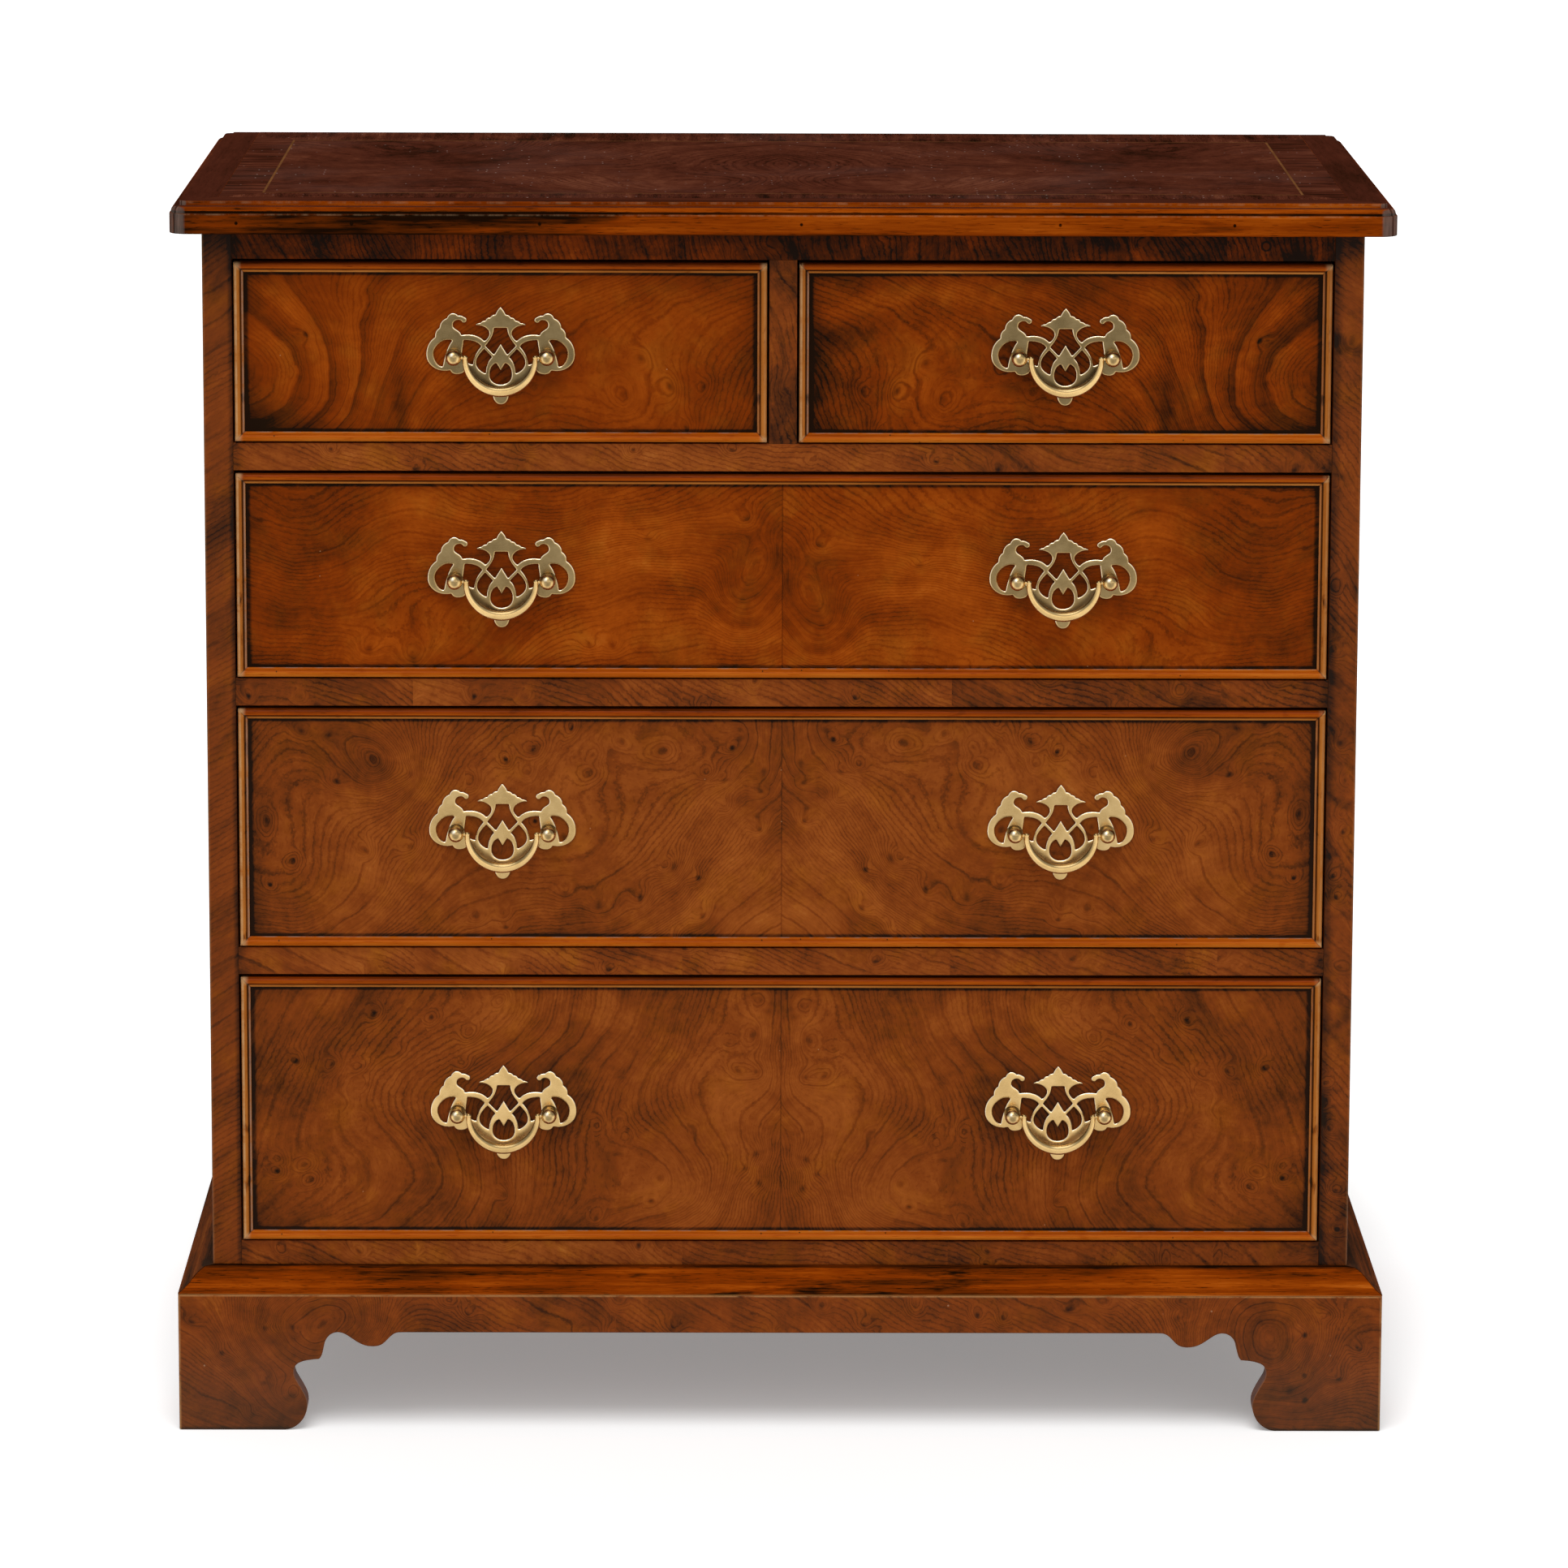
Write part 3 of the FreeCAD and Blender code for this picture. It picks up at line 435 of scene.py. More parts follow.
def drawer_veneer(name):
    """Book-matched burr veneer of one drawer front, dark along its bead with dirt and painted shade, and
    with painted shadow and grime round its handles.
    """
    figure = dict(ROWS[name])
    slip = figure.pop("slip")
    low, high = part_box(name + "_front")
    graph = Graph(name + "_veneer")
    across = graph.size_of(graph.x)
    drift = graph.noise(graph.point(graph.x, graph.z, 9.0), 5.0) * 0.008
    tone = burr(graph, across + drift, graph.z + graph.past(graph.x) * slip, **figure)
    # Dirt along the bead, with painted shade in a thin rim beside it.
    dirt_and_shade = edge_dirt_and_shade(graph, low.x + BEAD_INSET, high.x - BEAD_INSET, low.z + BEAD_INSET, high.z - BEAD_INSET,
                     graph.x, graph.z)
    seam = graph.fall(across, 0.0002, 0.0007) * 0.16
    # Painted shadow, with some grime, round each handle, darkest under its plate and piercings.
    handle_shadow_and_grime = 0.0
    for x in (-HANDLE_ACROSS, HANDLE_ACROSS):
        middle = (x, (low.z + high.z) / 2 - HANDLE_DROP)
        handle_shadow_and_grime = graph.hill(graph.point(graph.x, graph.z), middle, HANDLE_SHADE_SIZE) + handle_shadow_and_grime
    tone = tone - seam - handle_shadow_and_grime * 0.30 - dirt_and_shade * 0.62
    colours = DULL_WALNUT if name in DULL_DRAWERS else WALNUT
    colour = gilded(graph, tone, colours, across, graph.z, figure["seed"])
    fleck = specks(graph, graph.x, graph.z, 38.0, 0.045, 0.020)
    colour = graph.blend(fleck * 0.5, colour, FLECK)
    core = streaks(graph, graph.x, graph.y, graph.z, 23.0, 3.0, 120.0)
    behind = graph.rise(graph.ny, 0.5, 0.8)
    bare = graph.blend(behind, graph.ramp(core - 0.14, GOLDEN), graph.ramp(core, OAK))
    colour = graph.blend(graph.rise(graph.ny, -0.8, -0.5), colour, bare)
    rough = 0.36 - tone * 0.06 + dirt_and_shade * 0.2
    height = graph.noise(graph.point(graph.x, graph.z, 2.0), 35.0, 4.0, 0.65)
    return graph.finish(colour, rough, height, depth=0.0010, strength=0.10, Specular_IOR_Level=0.025)


def bead_wood(name):
    """Straight-grained bead round a drawer front: painted shade above and painted light below, and pale
    painted highlights on the uprights' edges.
    """
    low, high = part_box(name + "_beading")
    graph = Graph(name + "_bead")
    side = graph.least(graph.x - low.x, high.x - graph.x)
    head = graph.least(graph.z - low.z, high.z - graph.z)
    upright = graph.past(head - side, 0.00005)
    level = 1.0 - upright
    foot = graph.fall(graph.z, low.z + BEAD_FOOT[0], low.z + BEAD_FOOT[1]) * level
    run = graph.choose(upright, graph.x, graph.z)
    cross = graph.least(side, head)
    grain = streaks(graph, run, cross, graph.y, low.x * 10 + low.z * 7, 4.0, 260.0) - 0.5
    blot = graph.noise(graph.point(run, cross * 3.0, low.z), 60.0, 3.0, 0.6)
    spots = graph.rise(blot, 0.58, 0.72) * (upright * 0.24 + 0.10)
    crown = level - foot
    front = graph.fall(graph.ny, -0.6, -0.3)
    rims = graph.fall(cross, 0.0001, 0.0006) * (1.0 - foot) * front
    # Painted light on the bead: shade in the groove and on upward faces, light on downward faces, on the
    # bottom strip and on the shelf of the top strip.
    groove = graph.fall(graph.size_of(cross - BEAD_GROOVE), 0.0003, 0.0009) * (1.0 - foot * 0.85)
    shelf = graph.rise(cross, *BEAD_SHELF)
    mitre = graph.fall(graph.size_of(head - side), 0.0002, 0.0008)
    shade = graph.least(graph.nz, 0.7) * (crown * 0.28 + foot * 0.10)
    shade = shade + crown * 0.05 - shelf * crown * 0.12 - foot * 0.18
    tone = grain * 0.75 + 0.58 - shade - spots - rims * 0.40 - groove * 0.50 - mitre * 0.30
    golden = graph.most(upright, shelf * crown)
    colour = graph.blend(golden, graph.ramp(tone, ORANGE), graph.ramp(tone + 0.06, GOLDEN))
    patchiness = graph.noise(graph.point(run, 0.0, low.x), 70.0, 4.0, 0.7)
    patchy = graph.rise(patchiness, 0.25, 0.60)
    # Painted highlights: a pale band on the uprights' outer edges, stronger on the left, and pale bead
    # corners.
    left = graph.fall(graph.x - low.x, 0.006, 0.008) * 0.7 + 0.3
    outer = graph.fall(graph.size_of(cross - BEAD_OUTER), 0.0003, 0.0013) * upright * patchy * left
    tips = graph.fall(graph.most(side, head), 0.0020, 0.0060) * graph.rise(patchiness, 0.40, 0.55)
    colour = graph.blend(graph.most(outer * 0.60, tips * 0.55), colour, BEAD_HIGHLIGHT)
    # Painted grey reflections on the uprights' inner edges and on the top edge of the bottom strip.
    inner = graph.fall(graph.size_of(cross - BEAD_INNER), 0.0003, 0.0008) * upright
    brow = graph.rise(cross, *BEAD_BROW) * foot * graph.rise(patchiness, 0.42, 0.62)
    colour = graph.blend(graph.most(inner * patchy * left, brow) * 0.60, colour, BEAD_GREY_REFLECTION)
    nick = specks(graph, run, cross, 150.0, 0.05, 0.10) * (foot + 0.3)
    colour = graph.blend(nick * 0.7, colour, NICK)
    return graph.finish(colour, 0.34, tone, depth=0.0003, strength=0.12, Specular_IOR_Level=0.03)


def rail_veneer(name, seed, dark, colours=DULL_WALNUT, contrast=1.65, lean=(0.12, 0.30), burl=0.95,
                plug=False):
    """Rails faced with short lengths of figured veneer; the top one has a round plug near its right end."""
    graph = Graph(name)
    piece = graph.calc("FLOOR", graph.x * (1 / RAIL_PIECE) + 0.37)
    flow = graph.calc("SINE", piece * 2.4) * 0.18
    tone = burr(graph, graph.x + graph.z * flow, graph.z, seed, lean, burl=burl, lines=0.45, wave=1.2,
                level=0.50, contrast=contrast)
    tone = tone + graph.calc("SINE", piece * 5.1) * 0.07
    ends = graph.fall(OPENING_HALF - graph.size_of(graph.x), 0.0, 0.010) * 0.25
    tone = tone - ends - dark
    if plug:
        tone = tone - graph.fall(graph.x, -0.38, 0.20) * 0.10
        away = (graph.x - PLUG_PLACE[0]) ** 2.0 + (graph.z - PLUG_PLACE[1]) ** 2.0
        away = graph.calc("SQRT", away)
        tone = tone - graph.fall(graph.size_of(away - PLUG_RADIUS), 0.0003, 0.0010) * 0.30
        tone = graph.choose(graph.fall(away, 0.0020, 0.0026), tone, 0.24)
    colour = gilded(graph, tone, colours, graph.x, graph.z, seed, 0.0 if plug else 0.6)
    return graph.finish(colour, 0.38, tone, depth=0.0002, strength=0.12, Specular_IOR_Level=0.04)


def plain_wood(name, colours, along, seed, dark=0.0):
    """Bare straight-grained boards, such as linings, backs and runners."""
    graph = Graph(name)
    axes = {"x": graph.x, "y": graph.y, "z": graph.z}
    run = axes.pop(along)
    across, depth = axes.values()
    tone = streaks(graph, run, across, depth, seed, 3.0, 90.0) - dark
    grime = graph.noise(graph.point(graph.x, graph.y, graph.z), 9.0, 4.0, 0.6)
    colour = graph.ramp(tone - graph.rise(grime, 0.5, 0.8) * 0.25, colours)
    return graph.finish(colour, 0.6, tone, depth=0.0003, strength=0.25, Specular_IOR_Level=0.3)


def side_wood(name, sign):
    """Carcase side: figured veneer outside; its front edge is banded on the left, burr on the right."""
    graph = Graph(name)
    low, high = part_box(name)
    outer = burr(graph, graph.y * 0.9, graph.z, 31.0 + sign, (0.36, 0.05), burl=0.3, lines=0.6,
                 hills=[(-0.05, 0.45, 0.10, 0.22, 0.060), (0.12, 0.72, 0.09, 0.12, 0.035),
                        (0.10, 0.2, 0.1, 0.1, 0.03)],
                 eyes=[(-0.12, 0.62, 0.010), (0.07, 0.33, 0.011), (0.02, 0.55, 0.008)])
    dirt_and_shade = edge_dirt_and_shade(graph, low.y, high.y, low.z, high.z, graph.y, graph.z)
    outer_colour = gilded(graph, outer - dirt_and_shade * 0.35, DULL_WALNUT, graph.y, graph.z, 31.0)
    slant = graph.z + graph.x * (sign * 0.9)
    if sign < 0:
        band = burr(graph, graph.x, slant, 17.0, (0.10, 0.30), burl=0.1, lines=0.55, wave=0.5)
        gloom = graph.noise(graph.point(graph.x * 9.0, slant * 30.0, 3.0), 1.0, 3.0, 0.6)
        band = band - graph.rise(gloom, 0.48, 0.66) * 0.12 + 0.02
    else:
        band = burr(graph, graph.x, graph.z, 18.0, (0.20, 0.20), burl=1.1, lines=0.3, contrast=1.3)
        gloom = graph.noise(graph.point(graph.x, graph.z, 7.0), 24.0, 3.0, 0.6)
        band = band - graph.rise(gloom, 0.52, 0.70) * 0.28 - graph.fall(graph.z, 0.11, 0.30) * 0.16
    inner_edge = graph.fall(graph.size_of(graph.x) - OPENING_HALF, 0.0003, 0.0040 if sign < 0 else 0.0080)
    outer_edge = graph.fall(CARCASE_HALF - graph.size_of(graph.x), 0.0003, 0.0018)
    # Painted shadow of the top's overhang, darkening the stiles' upper ends.
    top = graph.rise(graph.z, *STILE_TOP)
    band_tone = band - 0.12 - inner_edge * 0.28 - top * 0.30
    band_colour = gilded(graph, band_tone, DULL_WALNUT, graph.x, graph.z, 17.0, 0.6)
    band_colour = graph.blend(outer_edge * 0.22, band_colour, RUBBED_STILE)
    front = graph.fall(graph.ny, -0.8, -0.5)
    colour = graph.blend(front, outer_colour, band_colour)
    return graph.finish(colour, 0.38, band, depth=0.0002, strength=0.10, Specular_IOR_Level=0.05)


def top_wood():
    """Top panel: a dark red figured field inside a cross-grained border, dulled with dust."""
    graph = Graph("top_field")
    low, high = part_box("top_stringing")
    across = graph.size_of(graph.x)
    field = burr(graph, across, graph.y * 0.6, 41.0, (0.10, 0.32), burl=0.25, lines=0.40,
                 hills=[(0.05, -0.10, 0.12, 0.10, 0.050), (0.25, 0.05, 0.10, 0.06, 0.030)], wave=1.3)
    side = graph.least(graph.x - low.x, high.x - graph.x)
    head = graph.least(graph.y - low.y, high.y - graph.y)
    across_grain = graph.past(head - side)
    run = graph.choose(across_grain, graph.y, graph.x)
    cross = graph.choose(across_grain, graph.x, graph.y)
    band = streaks(graph, run, cross, graph.z, 5.0, 9.0, 120.0)
    inside = graph.past(graph.least(side, head))
    tone = graph.choose(inside, band, field)
    tone = (tone - 0.5) * 2.1 + 0.5
    colour = graph.ramp(tone, RED_WALNUT)
    dust = specks(graph, graph.x, graph.y * 0.45, 150.0, 0.16, 0.12)
    film = graph.noise(graph.point(graph.x, graph.y, 3.0), 8.0, 4.0, 0.6)
    colour = graph.blend(dust * graph.rise(film, 0.42, 0.62) * 0.75, colour, DUST)
    colour = graph.blend(graph.rise(film, 0.45, 0.75) * 0.10, colour, DUST_FILM)
    return graph.finish(colour, 0.5 + film * 0.2, film, depth=0.0008, strength=0.08, Specular_IOR_Level=0.0)


def mitred(graph, low, high):
    """Distances into a moulding from the front and from the nearer side, whether a place is on its front
    length, and the places along and across the grain there."""
    ahead = graph.y - low.y
    aside = graph.least(graph.x - low.x, high.x - graph.x)
    front = graph.past(aside - ahead)
    run = graph.choose(front, graph.y, graph.x)
    cross = graph.choose(front, graph.x, graph.y)
    return ahead, aside, front, run, cross


def edging_wood():
    """Moulded edging of the top: long dark and orange streaks, darkest on the left, grey at its corners."""
    graph = Graph("top_edging")
    low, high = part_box("top_edging")
    ahead, aside, front, run, cross = mitred(graph, low, high)
    grain = streaks(graph, run, cross * 0.5, graph.z, 2.6, 3.2, 105.0) - 0.5
    blot = graph.noise(graph.point(run * 0.45, graph.z * 2.5, 8.0), 20.0, 3.0, 0.6)
    left = graph.fall(graph.x, -0.36, 0.04) * front
    fascia = graph.fall(graph.z, *EDGING_FASCIA)
    gloom = left * (graph.rise(blot, 0.30, 0.62) * 0.40 + 0.16) + graph.rise(blot, 0.58, 0.72) * 0.30
    tone = grain * 1.35 + 0.54 - gloom * (fascia * 0.6 + 0.4)
    top = graph.rise(graph.nz, 0.80, 0.95)
    # Painted shade in the quirk and along the bottom of the edging.
    quirk = graph.fall(graph.size_of(graph.z - EDGING_QUIRK), 0.0005, 0.0011)
    under = graph.fall(graph.z, *EDGING_BELOW)
    mitre = graph.fall(graph.size_of(aside - ahead), 0.0002, 0.0007) * top
    pin = 0.0
    for place in PIN_PLACES:
        pin = graph.hill(graph.point(graph.x, graph.z), (place, PIN_HEIGHT), PIN_SIZE) + pin
    tone = tone - quirk * 0.60 - mitre * 0.30 - under * 0.20 - graph.rise(pin, 0.2, 0.7) * front * 0.6
    colour = graph.ramp(tone, WALNUT)
    dark = graph.ramp(grain * 0.9 + 0.47, RED_WALNUT)
    colour = graph.blend(top, colour, dark)
    patchiness = graph.noise(graph.point(run, graph.z * 0.3, 6.0), 90.0, 4.0, 0.7)
    # Broken painted highlights along the fascia's upper arris and the top's front edge.
    arris = graph.fall(graph.size_of(graph.z - EDGING_ARRIS), 0.0002, 0.0008)
    brink = graph.fall(graph.size_of(graph.z - EDGING_BRINK), 0.0004, 0.0012) * (1.0 - top)
    arris = arris * graph.rise(patchiness, 0.40, 0.66) * 0.22
    brink = brink * graph.rise(patchiness, 0.44, 0.64) * 0.20
    colour = graph.blend(graph.most(arris, brink), colour, EDGING_HIGHLIGHT)
    # Painted grey reflections, with wear, on the rounded front corners.
    turn = graph.rise(graph.size_of(graph.nx * graph.ny), 0.06, 0.22) * graph.fall(ahead, 0.012, 0.016)
    band = graph.noise(graph.point(graph.x * 420.0, graph.y * 420.0, graph.z * 30.0), 1.0, 3.0, 0.6)
    colour = graph.blend(turn * 0.85, colour, graph.ramp(band, GREY_CORNER))
    return graph.finish(colour, 0.36, grain, depth=0.0003, strength=0.15, Specular_IOR_Level=0.0)


def moulding_wood():
    """Base moulding: red-brown straight grain with short dark patches."""
    graph = Graph("base_moulding")
    low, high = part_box("base_frame")
    ahead, aside, front, run, cross = mitred(graph, low, high)
    tone = (streaks(graph, run, cross, graph.z, 6.2, 5.0, 190.0) - 0.52) * 1.5 + 0.45
    blot = graph.noise(graph.point(run * 0.5, cross * 2.5, graph.z * 2.5), 26.0, 4.0, 0.65)
    tone = tone - graph.rise(blot, 0.56, 0.70) * 0.42
    back = graph.rise(graph.z, *MOULDING_HEAD)
    tone = tone - back * 0.30 - graph.fall(graph.size_of(aside - ahead), 0.0002, 0.0008) * 0.35
    # The side lengths get a darker, duller copy of the front's colour: painted shade.
    painted_shade = graph.blend(0.35, graph.ramp(tone - 0.06, DULL_WALNUT), MOULDING_SIDE_SHADE)
    colour = graph.blend(front, painted_shade, graph.ramp(tone, WALNUT))
    # A pale lip at the foot of the moulding: wear, with a painted highlight.
    lip = graph.fall(graph.z, *MOULDING_FOOT)
    colour = graph.blend(lip * 0.34, colour, MOULDING_LIP_WEAR_AND_HIGHLIGHT)
    return graph.finish(colour, 0.33, tone, depth=0.0003, strength=0.15, Specular_IOR_Level=0.0)


def plinth_wood():
    """Bracket plinth: burr veneer with thin growth lines, pale along its edges with wear and a painted
    highlight, and painted shade on its downward faces.
    """
    graph = Graph("plinth")
    front = graph.fall(graph.ny, -0.8, -0.5)
    u = graph.choose(front, graph.y, graph.x)
    tone = burr(graph, u, graph.z, 52.0, (0.16, 0.30), burl=0.85, lines=0.50, contrast=1.3,
                hills=[(-0.33, 0.075, 0.045, 0.035, 0.060), (0.33, 0.06, 0.05, 0.04, 0.055),
                       (-0.345, 0.022, 0.02, 0.02, 0.03)],
                eyes=[(-0.345, 0.024, 0.013), (-0.316, 0.056, 0.008), (0.35, 0.03, 0.012),
                      (-0.22, 0.085, 0.007), (0.05, 0.085, 0.006), (0.20, 0.084, 0.007)])
    foot = graph.fall(graph.z, 0.0, 0.030) * graph.noise(graph.point(u, graph.z, 1.0), 30.0, 3.0)
    floor_edge = graph.fall(graph.z, *PLINTH_FLOOR)
    head = graph.rise(graph.z, *PLINTH_HEAD)
    dulled = tone - 0.12 - foot * 0.28 - floor_edge * 0.35
    colour = gilded(graph, dulled, DULL_WALNUT, u, graph.z, 52.0, 0.35)
    grime = graph.fall(graph.z, 0.020, 0.090) * graph.rise(graph.size_of(u), 0.24, 0.34)
    colour = graph.blend(grime * 0.30, colour, PLINTH_GRIME)
    # Pale top edge and outer corners: wear, with a painted highlight along the top edge.
    outer = graph.rise(graph.size_of(graph.x), *PLINTH_CORNER) * front
    wear = graph.noise(graph.point(u, graph.z, 12.0), 60.0, 4.0, 0.7)
    pale = graph.most(head * 0.55, outer * 0.50) * graph.rise(wear, 0.30, 0.52)
    colour = graph.blend(pale, colour, PLINTH_WEAR_AND_HIGHLIGHT)
    facing = graph.size_of(graph.ny)
    edge = graph.fall(facing, 0.30, 0.95) * graph.rise(facing, 0.05, 0.30)
    edge = edge * 0.45 * graph.rise(wear, 0.35, 0.55)
    scuffs = specks(graph, u, graph.z, 60.0, 0.05, 0.05) * 0.4
    colour = graph.blend(graph.most(edge, scuffs), colour, SCUFFED_PLINTH)
    # Painted shade on faces that look down.
    facing_down_shade = graph.fall(graph.nz, -0.7, -0.3)
    colour = graph.blend(facing_down_shade * 0.6, colour, PLINTH_UNDERSIDE_SHADE)
    return graph.finish(colour, 0.42, tone, depth=0.0003, strength=0.12, Specular_IOR_Level=0.05)


def inlay_wood():
    """Thin pale inlay in the top, worn and darkened in places."""
    graph = Graph("stringing")
    patchiness = graph.noise(graph.point(graph.x, graph.y), 14.0, 5.0, 0.7)
    colour = graph.ramp(patchiness * 1.6 - 0.3, INLAY)
    return graph.finish(colour, 0.5, Specular_IOR_Level=0.0)


# Brass

BRIGHT_BRASS = [(0.44, 0.28, 0.11), (0.64, 0.425, 0.17), (0.78, 0.545, 0.245), (0.90, 0.69, 0.39)]
DARK_REFLECTION_BRASS = [(0.070, 0.049, 0.020), (0.134, 0.094, 0.042), (0.200, 0.145, 0.069), (0.31, 0.228, 0.117)]
SHADED_BRASS = (0.14, 0.080, 0.032)
BRASS_GLINT = (1.0, 0.90, 0.70)


def cast_surface(graph):
    """Tone, clouds and pits of cast brass, finely scratched sideways."""
    place = graph.point(graph.x, graph.y, graph.z)
    cloud = graph.noise(place, 70.0, 4.0, 0.6)
    pit = graph.rise(graph.noise(place, 900.0, 2.0), 0.62, 0.74)
    rub = graph.noise(graph.scaled(place, (250.0, 250.0, 2200.0)), 1.0, 2.0)
    return cloud * 0.9 + rub * 0.22 - 0.16 - pit * 0.15, cloud, pit


def brass(graph, colour, polish, cloud, pit):
    """Links the metal: polish is its roughness where it is neither clouded nor pitted."""
    rough = polish + cloud * 0.14 + pit * 0.15
    return graph.finish(colour, rough, cloud, depth=0.0002, strength=0.14, Metallic=1.0)


def plate_brass():
    """Pierced plate with painted light: dark reflections on its faces, the higher ones more so, painted
    highlights on its rims and painted shade in its piercings.
    """
    graph = Graph("plate_brass")
    tone, cloud, pit = cast_surface(graph)
    # Painted dark reflections on flat and upward faces, stronger on the higher plates.
    face = graph.fall(graph.ny, -0.995, -0.90)
    painted_dark_share = graph.rise(graph.z, 0.25, 0.70) * 0.86 + 0.10
    above = graph.rise(graph.nz, 0.05, 0.55)
    colour = graph.blend(graph.most(face * painted_dark_share, above * 0.80), graph.ramp(tone, BRIGHT_BRASS),
                         graph.ramp(tone, DARK_REFLECTION_BRASS))
    # Painted highlights on rims facing upwards and to the left, painted shade on the other rims and on the
    # piercings' walls.
    slope = 1.0 - graph.size_of(graph.ny)
    rim = graph.rise(slope, 0.03, 0.12) * graph.fall(slope, 0.34, 0.50)
    lit = graph.rise(graph.nz - graph.nx * 0.35, -0.16, 0.12)
    wall = graph.rise(slope, 0.34, 0.50)
    colour = graph.blend(rim * lit * 0.62, colour, BRASS_GLINT)
    colour = graph.blend(graph.most(rim * (1.0 - lit) * 0.35, wall * 0.8), colour, SHADED_BRASS)
    return brass(graph, colour, 0.21, cloud, pit)


def round_brass(name, core, glint):
    """Turned or cast rod with painted reflections: dark above, shaded below, bright in front; core paints
    the front dark, glint a highlight on the shoulder.
    """
    graph = Graph(name)
    tone, cloud, pit = cast_surface(graph)
    # Painted reflections: dark above with a lighter gleam near the top, painted shade below, a dark front
    # where core is set and a highlight on the shoulder where glint is set.
    above = graph.rise(graph.nz, 0.08, 0.42) * 0.88
    gleam = graph.rise(graph.nz, 0.70, 0.80) * graph.fall(graph.nz, 0.90, 0.97) * 0.5
    facing_down_shade = graph.fall(graph.nz, -0.98, -0.80) * 0.5
    front = graph.fall(graph.ny, -0.97, -0.82) * core
    painted_shade = graph.most(above - gleam, facing_down_shade, front)
    colour = graph.blend(painted_shade, graph.ramp(tone, BRIGHT_BRASS), graph.ramp(tone, DARK_REFLECTION_BRASS))
    shoulder = graph.hill(graph.point(graph.nx, graph.nz), (-0.28, 0.42), (0.17, 0.17))
    colour = graph.blend(shoulder * glint, colour, BRASS_GLINT)
    return brass(graph, colour, 0.15, cloud, pit)


# Materials and edges

WELD_REACH = 0.00002
FLAT_WITHIN = math.radians(0.5)
SHARP_OVER = math.radians(35.0)
CAST_GRID = 0.00035
EVEN_STEPS = 5
CROWN_STEPS = 40
RAIL_ROUND = 0.0003
EDGING_ROUND = 0.0005
BOARD_ROUND = 0.0006
BLOCK_ROUND = 0.0008
PLINTH_ROUND = 0.0009


def modify(obj, name, kind, **settings):
    modifier = obj.modifiers.new(name, kind)
    for key, value in settings.items():
        setattr(modifier, key, value)


def dress(name, material, bevel=0.0, segments=2, cast=False):
    """Gives a node its material and, where asked, rounded edges or the soft edges of a casting."""
    obj = nodes[name]
    obj.data.materials.clear()
    obj.data.materials.append(material)
    if bevel or cast:
        modify(obj, "weld", "WELD", merge_threshold=WELD_REACH)
    if cast:
        modify(obj, "skin", "REMESH", mode="VOXEL", voxel_size=CAST_GRID, use_smooth_shade=True)
        modify(obj, "even", "SMOOTH", factor=0.5, iterations=EVEN_STEPS)
        modify(obj, "crown", "SMOOTH", factor=0.5, iterations=CROWN_STEPS, use_x=False, use_z=False)
    if bevel:
        modify(obj, "flat", "DECIMATE", decimate_type="DISSOLVE", angle_limit=FLAT_WITHIN)
        modify(obj, "soft", "BEVEL", width=bevel, segments=segments, limit_method="ANGLE",
               angle_limit=SHARP_OVER, use_clamp_overlap=False)
        modify(obj, "shade", "WEIGHTED_NORMAL", keep_sharp=False)


pine_up = plain_wood("back_boards", PINE, "z", 3.0, 0.05)
pine_x = plain_wood("pine_across", PINE, "x", 8.0, 0.05)
pine_y = plain_wood("pine_back", PINE, "y", 11.0, 0.05)
oak_x = plain_wood("oak_across", OAK, "x", 15.0)
oak_y = plain_wood("oak_back", OAK, "y", 19.0)

dress("top_panel", top_wood())
dress("top_edging", edging_wood(), EDGING_ROUND)
dress("top_stringing", inlay_wood())
dress("left_side", side_wood("left_side", -1.0), BOARD_ROUND)
dress("right_side", side_wood("right_side", 1.0), BOARD_ROUND)
head_rail = rail_veneer("top_rail", 61.0, 0.20, colours=WALNUT, contrast=2.0, lean=(0.30, 0.10), burl=0.30,
                        plug=True)
dress("top_rail", head_rail, RAIL_ROUND)
dress("drawer_rails", rail_veneer("drawer_rails", 66.0, -0.02), RAIL_ROUND)
dress("divider", rail_veneer("divider", 83.0, 0.12, contrast=1.8, lean=(0.30, 0.10), burl=0.30), RAIL_ROUND)
dress("bottom_board", rail_veneer("bottom_board", 71.0, -0.04), RAIL_ROUND)
dress("back_boards", pine_up)
dress("runners", pine_y)
dress("drawer_stops", oak_x)
dress("base_frame", moulding_wood())
plinth = plinth_wood()
dress("plinth_front", plinth, PLINTH_ROUND, segments=3)
dress("plinth_sides", plinth, PLINTH_ROUND, segments=3)
dress("rear_foot_brackets", pine_x, BLOCK_ROUND)
dress("corner_blocks", pine_up, BLOCK_ROUND)
plates = plate_brass()
posts = round_brass("post_brass", core=0.75, glint=0.9)
bails = round_brass("bail_brass", core=0.0, glint=0.0)
for drawer in DRAWERS:
    dress(drawer + "_front", drawer_veneer(drawer))
    dress(drawer + "_beading", bead_wood(drawer))
    dress(drawer + "_sides", oak_y, BOARD_ROUND)
    dress(drawer + "_back", oak_x, BOARD_ROUND)
    dress(drawer + "_bottom", oak_x)
    dress(drawer + "_handle_plates", plates, cast=True)
    dress(drawer + "_handle_posts", posts)
for name in nodes:
    if name.endswith("_bail"):
        dress(name, bails)


# Stage, light, camera

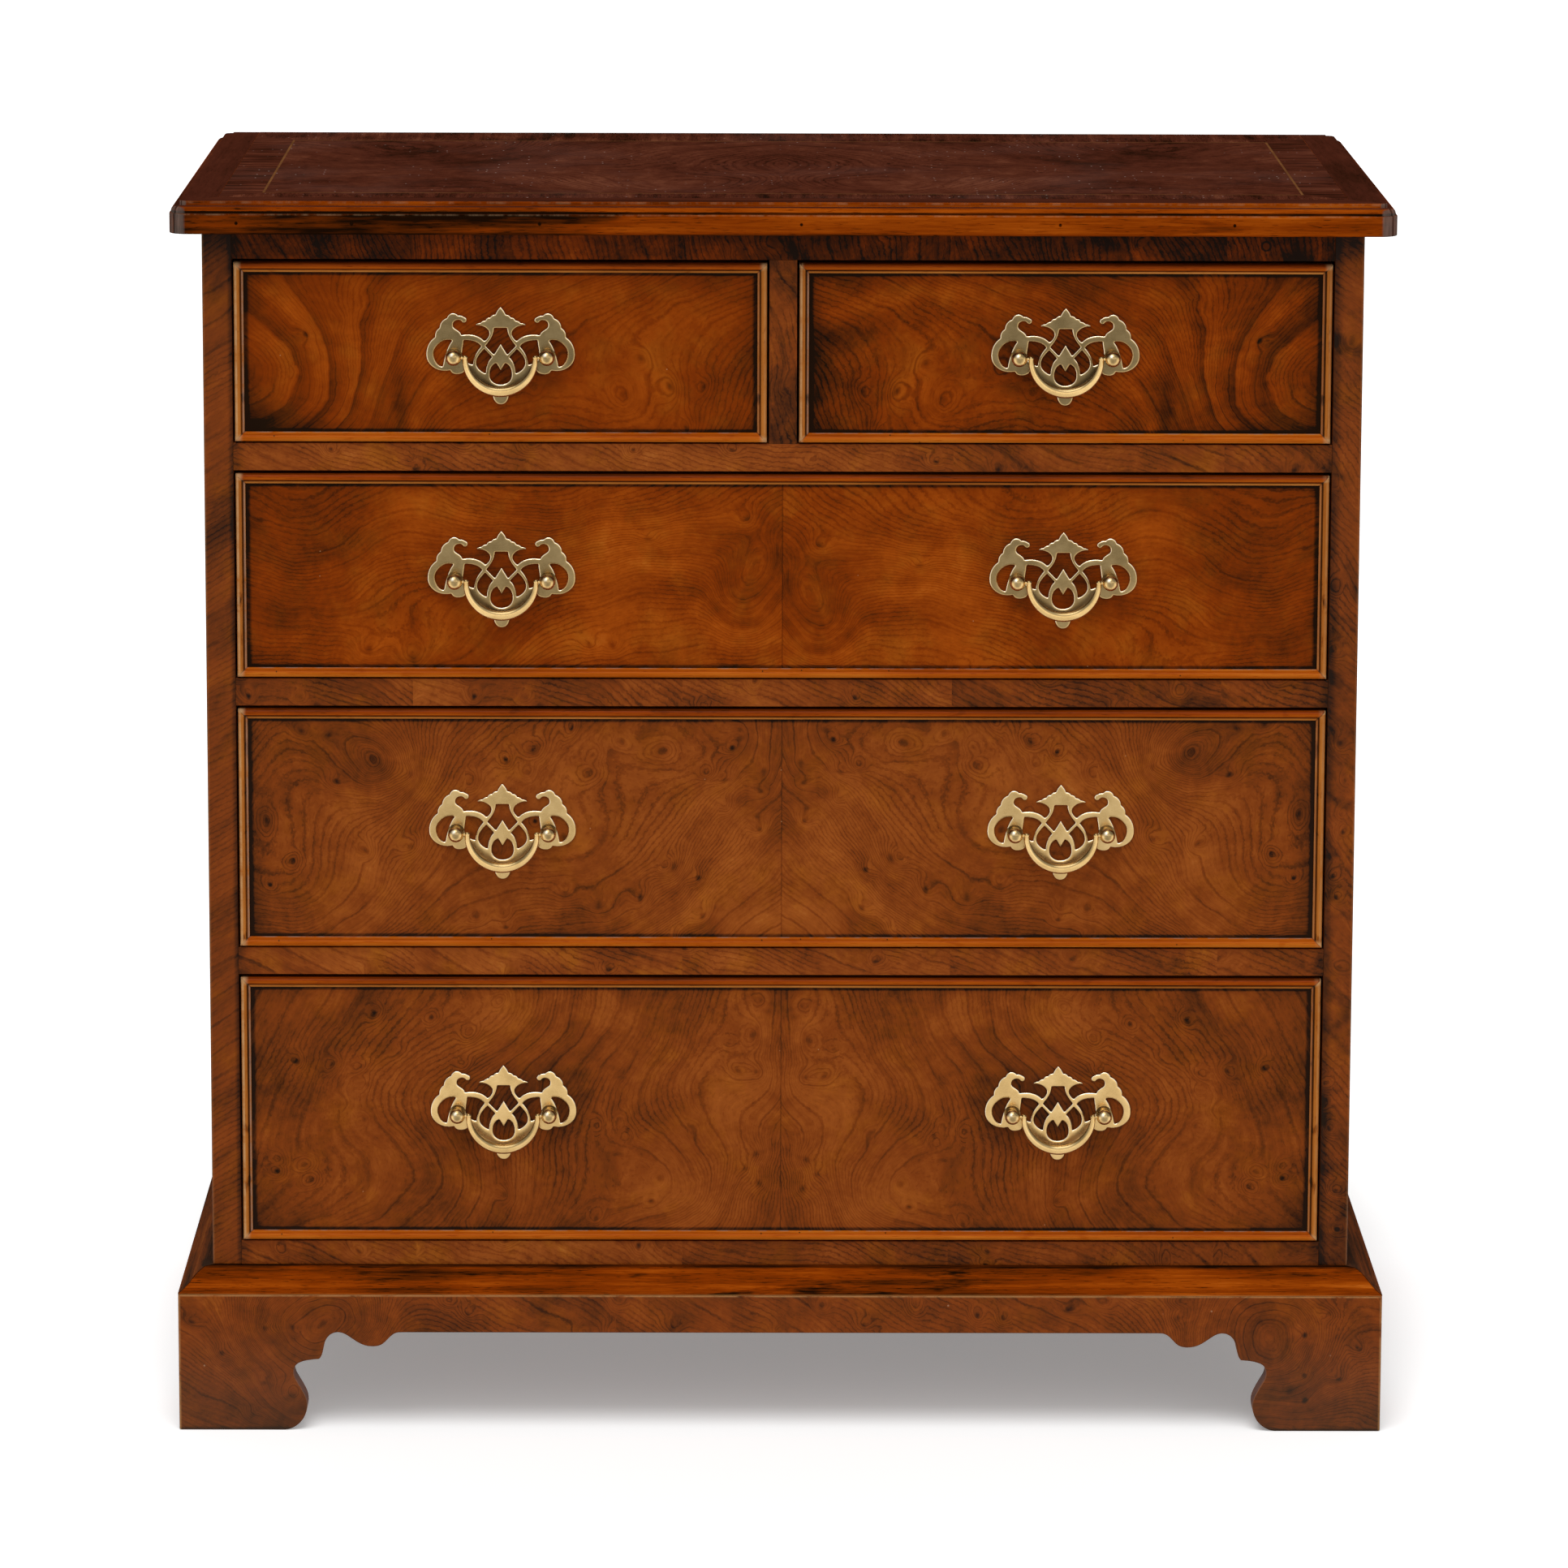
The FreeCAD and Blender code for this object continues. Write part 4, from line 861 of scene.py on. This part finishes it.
WHITE = (1.0, 1.0, 1.0, 1.0)
PAPER_WHITE = (0.96, 0.96, 0.96, 1.0)
WORLD_LIGHT = 0.30
WORLD_SHOWN = 1.0
FLOOR_RADIUS = 14.0
FLOOR_BESIDE = (0.40, 0.50)
FLOOR_GLOW = 0.25
BESIDE_GLOW = 0.25
SENSOR_WIDTH = 36.0
FOCAL_LENGTH = 170.40
CAMERA_PLACE = (-0.0323, -5.2384, 1.3974)
CAMERA_PITCH = math.radians(10.643)
CAMERA_YAW = math.radians(0.386)
CAMERA_ROLL = math.radians(0.183)


def rays_shown(tree):
    """1 for what the camera sees directly, in a mirror or through glass."""
    path = tree.nodes.new("ShaderNodeLightPath")
    shown = path.outputs["Is Camera Ray"]
    for kind in ("Is Glossy Ray", "Is Transmission Ray"):
        node = tree.nodes.new("ShaderNodeMath")
        node.operation = "MAXIMUM"
        tree.links.new(shown, node.inputs[0])
        tree.links.new(path.outputs[kind], node.inputs[1])
        shown = node.outputs[0]
    return shown


scene = bpy.context.scene
scene.view_settings.view_transform = "Standard"

world = bpy.data.worlds.new("studio")
world.use_nodes = True
scene.world = world
tree = world.node_tree
background = tree.nodes["Background"]
level = tree.nodes.new("ShaderNodeMapRange")
level.inputs["To Min"].default_value = WORLD_LIGHT
level.inputs["To Max"].default_value = WORLD_SHOWN
tree.links.new(rays_shown(tree), level.inputs["Value"])
tree.links.new(level.outputs["Result"], background.inputs["Strength"])
background.inputs["Color"].default_value = WHITE

bpy.ops.mesh.primitive_circle_add(vertices=96, radius=FLOOR_RADIUS, fill_type="NGON",
                                  location=(0.0, 0.0, 0.0))
floor = bpy.context.object
floor.name = "floor"
paper = Graph("floor_paper")
# Beside the chest the floor glows more: painted light that clears the chest's shadow there.
beside = paper.rise(paper.size_of(paper.x), *FLOOR_BESIDE)
glow = Num(paper, rays_shown(paper.tree)) * (beside * BESIDE_GLOW + FLOOR_GLOW)
paper.feed(paper.shader.inputs["Emission Strength"], glow)
floor.data.materials.append(paper.finish(PAPER_WHITE, 1.0, Specular_IOR_Level=0.0, Emission_Color=WHITE))


def sun(name, azimuth, elevation, strength, spread):
    """A wide soft lamp; azimuth 0 shines from the front, positive from the right."""
    lamp = bpy.data.lights.new(name, "SUN")
    lamp.energy = strength
    lamp.angle = math.radians(spread)
    obj = bpy.data.objects.new(name, lamp)
    scene.collection.objects.link(obj)
    obj.rotation_euler = (math.radians(90.0 - elevation), 0.0, math.radians(azimuth))


sun("key", azimuth=-14.0, elevation=64.0, strength=1.60, spread=40.0)
sun("fill", azimuth=14.0, elevation=32.0, strength=0.66, spread=60.0)

lens = bpy.data.cameras.new("camera")
lens.sensor_width = SENSOR_WIDTH
lens.lens = FOCAL_LENGTH
lens.clip_end = 100.0
camera = bpy.data.objects.new("camera", lens)
scene.collection.objects.link(camera)
turned = Matrix.Rotation(-CAMERA_YAW, 4, "Z")
tilted = Matrix.Rotation(math.radians(90.0) - CAMERA_PITCH, 4, "X")
rolled = Matrix.Rotation(CAMERA_ROLL, 4, "Z")
camera.matrix_world = Matrix.Translation(CAMERA_PLACE) @ turned @ tilted @ rolled
scene.camera = camera
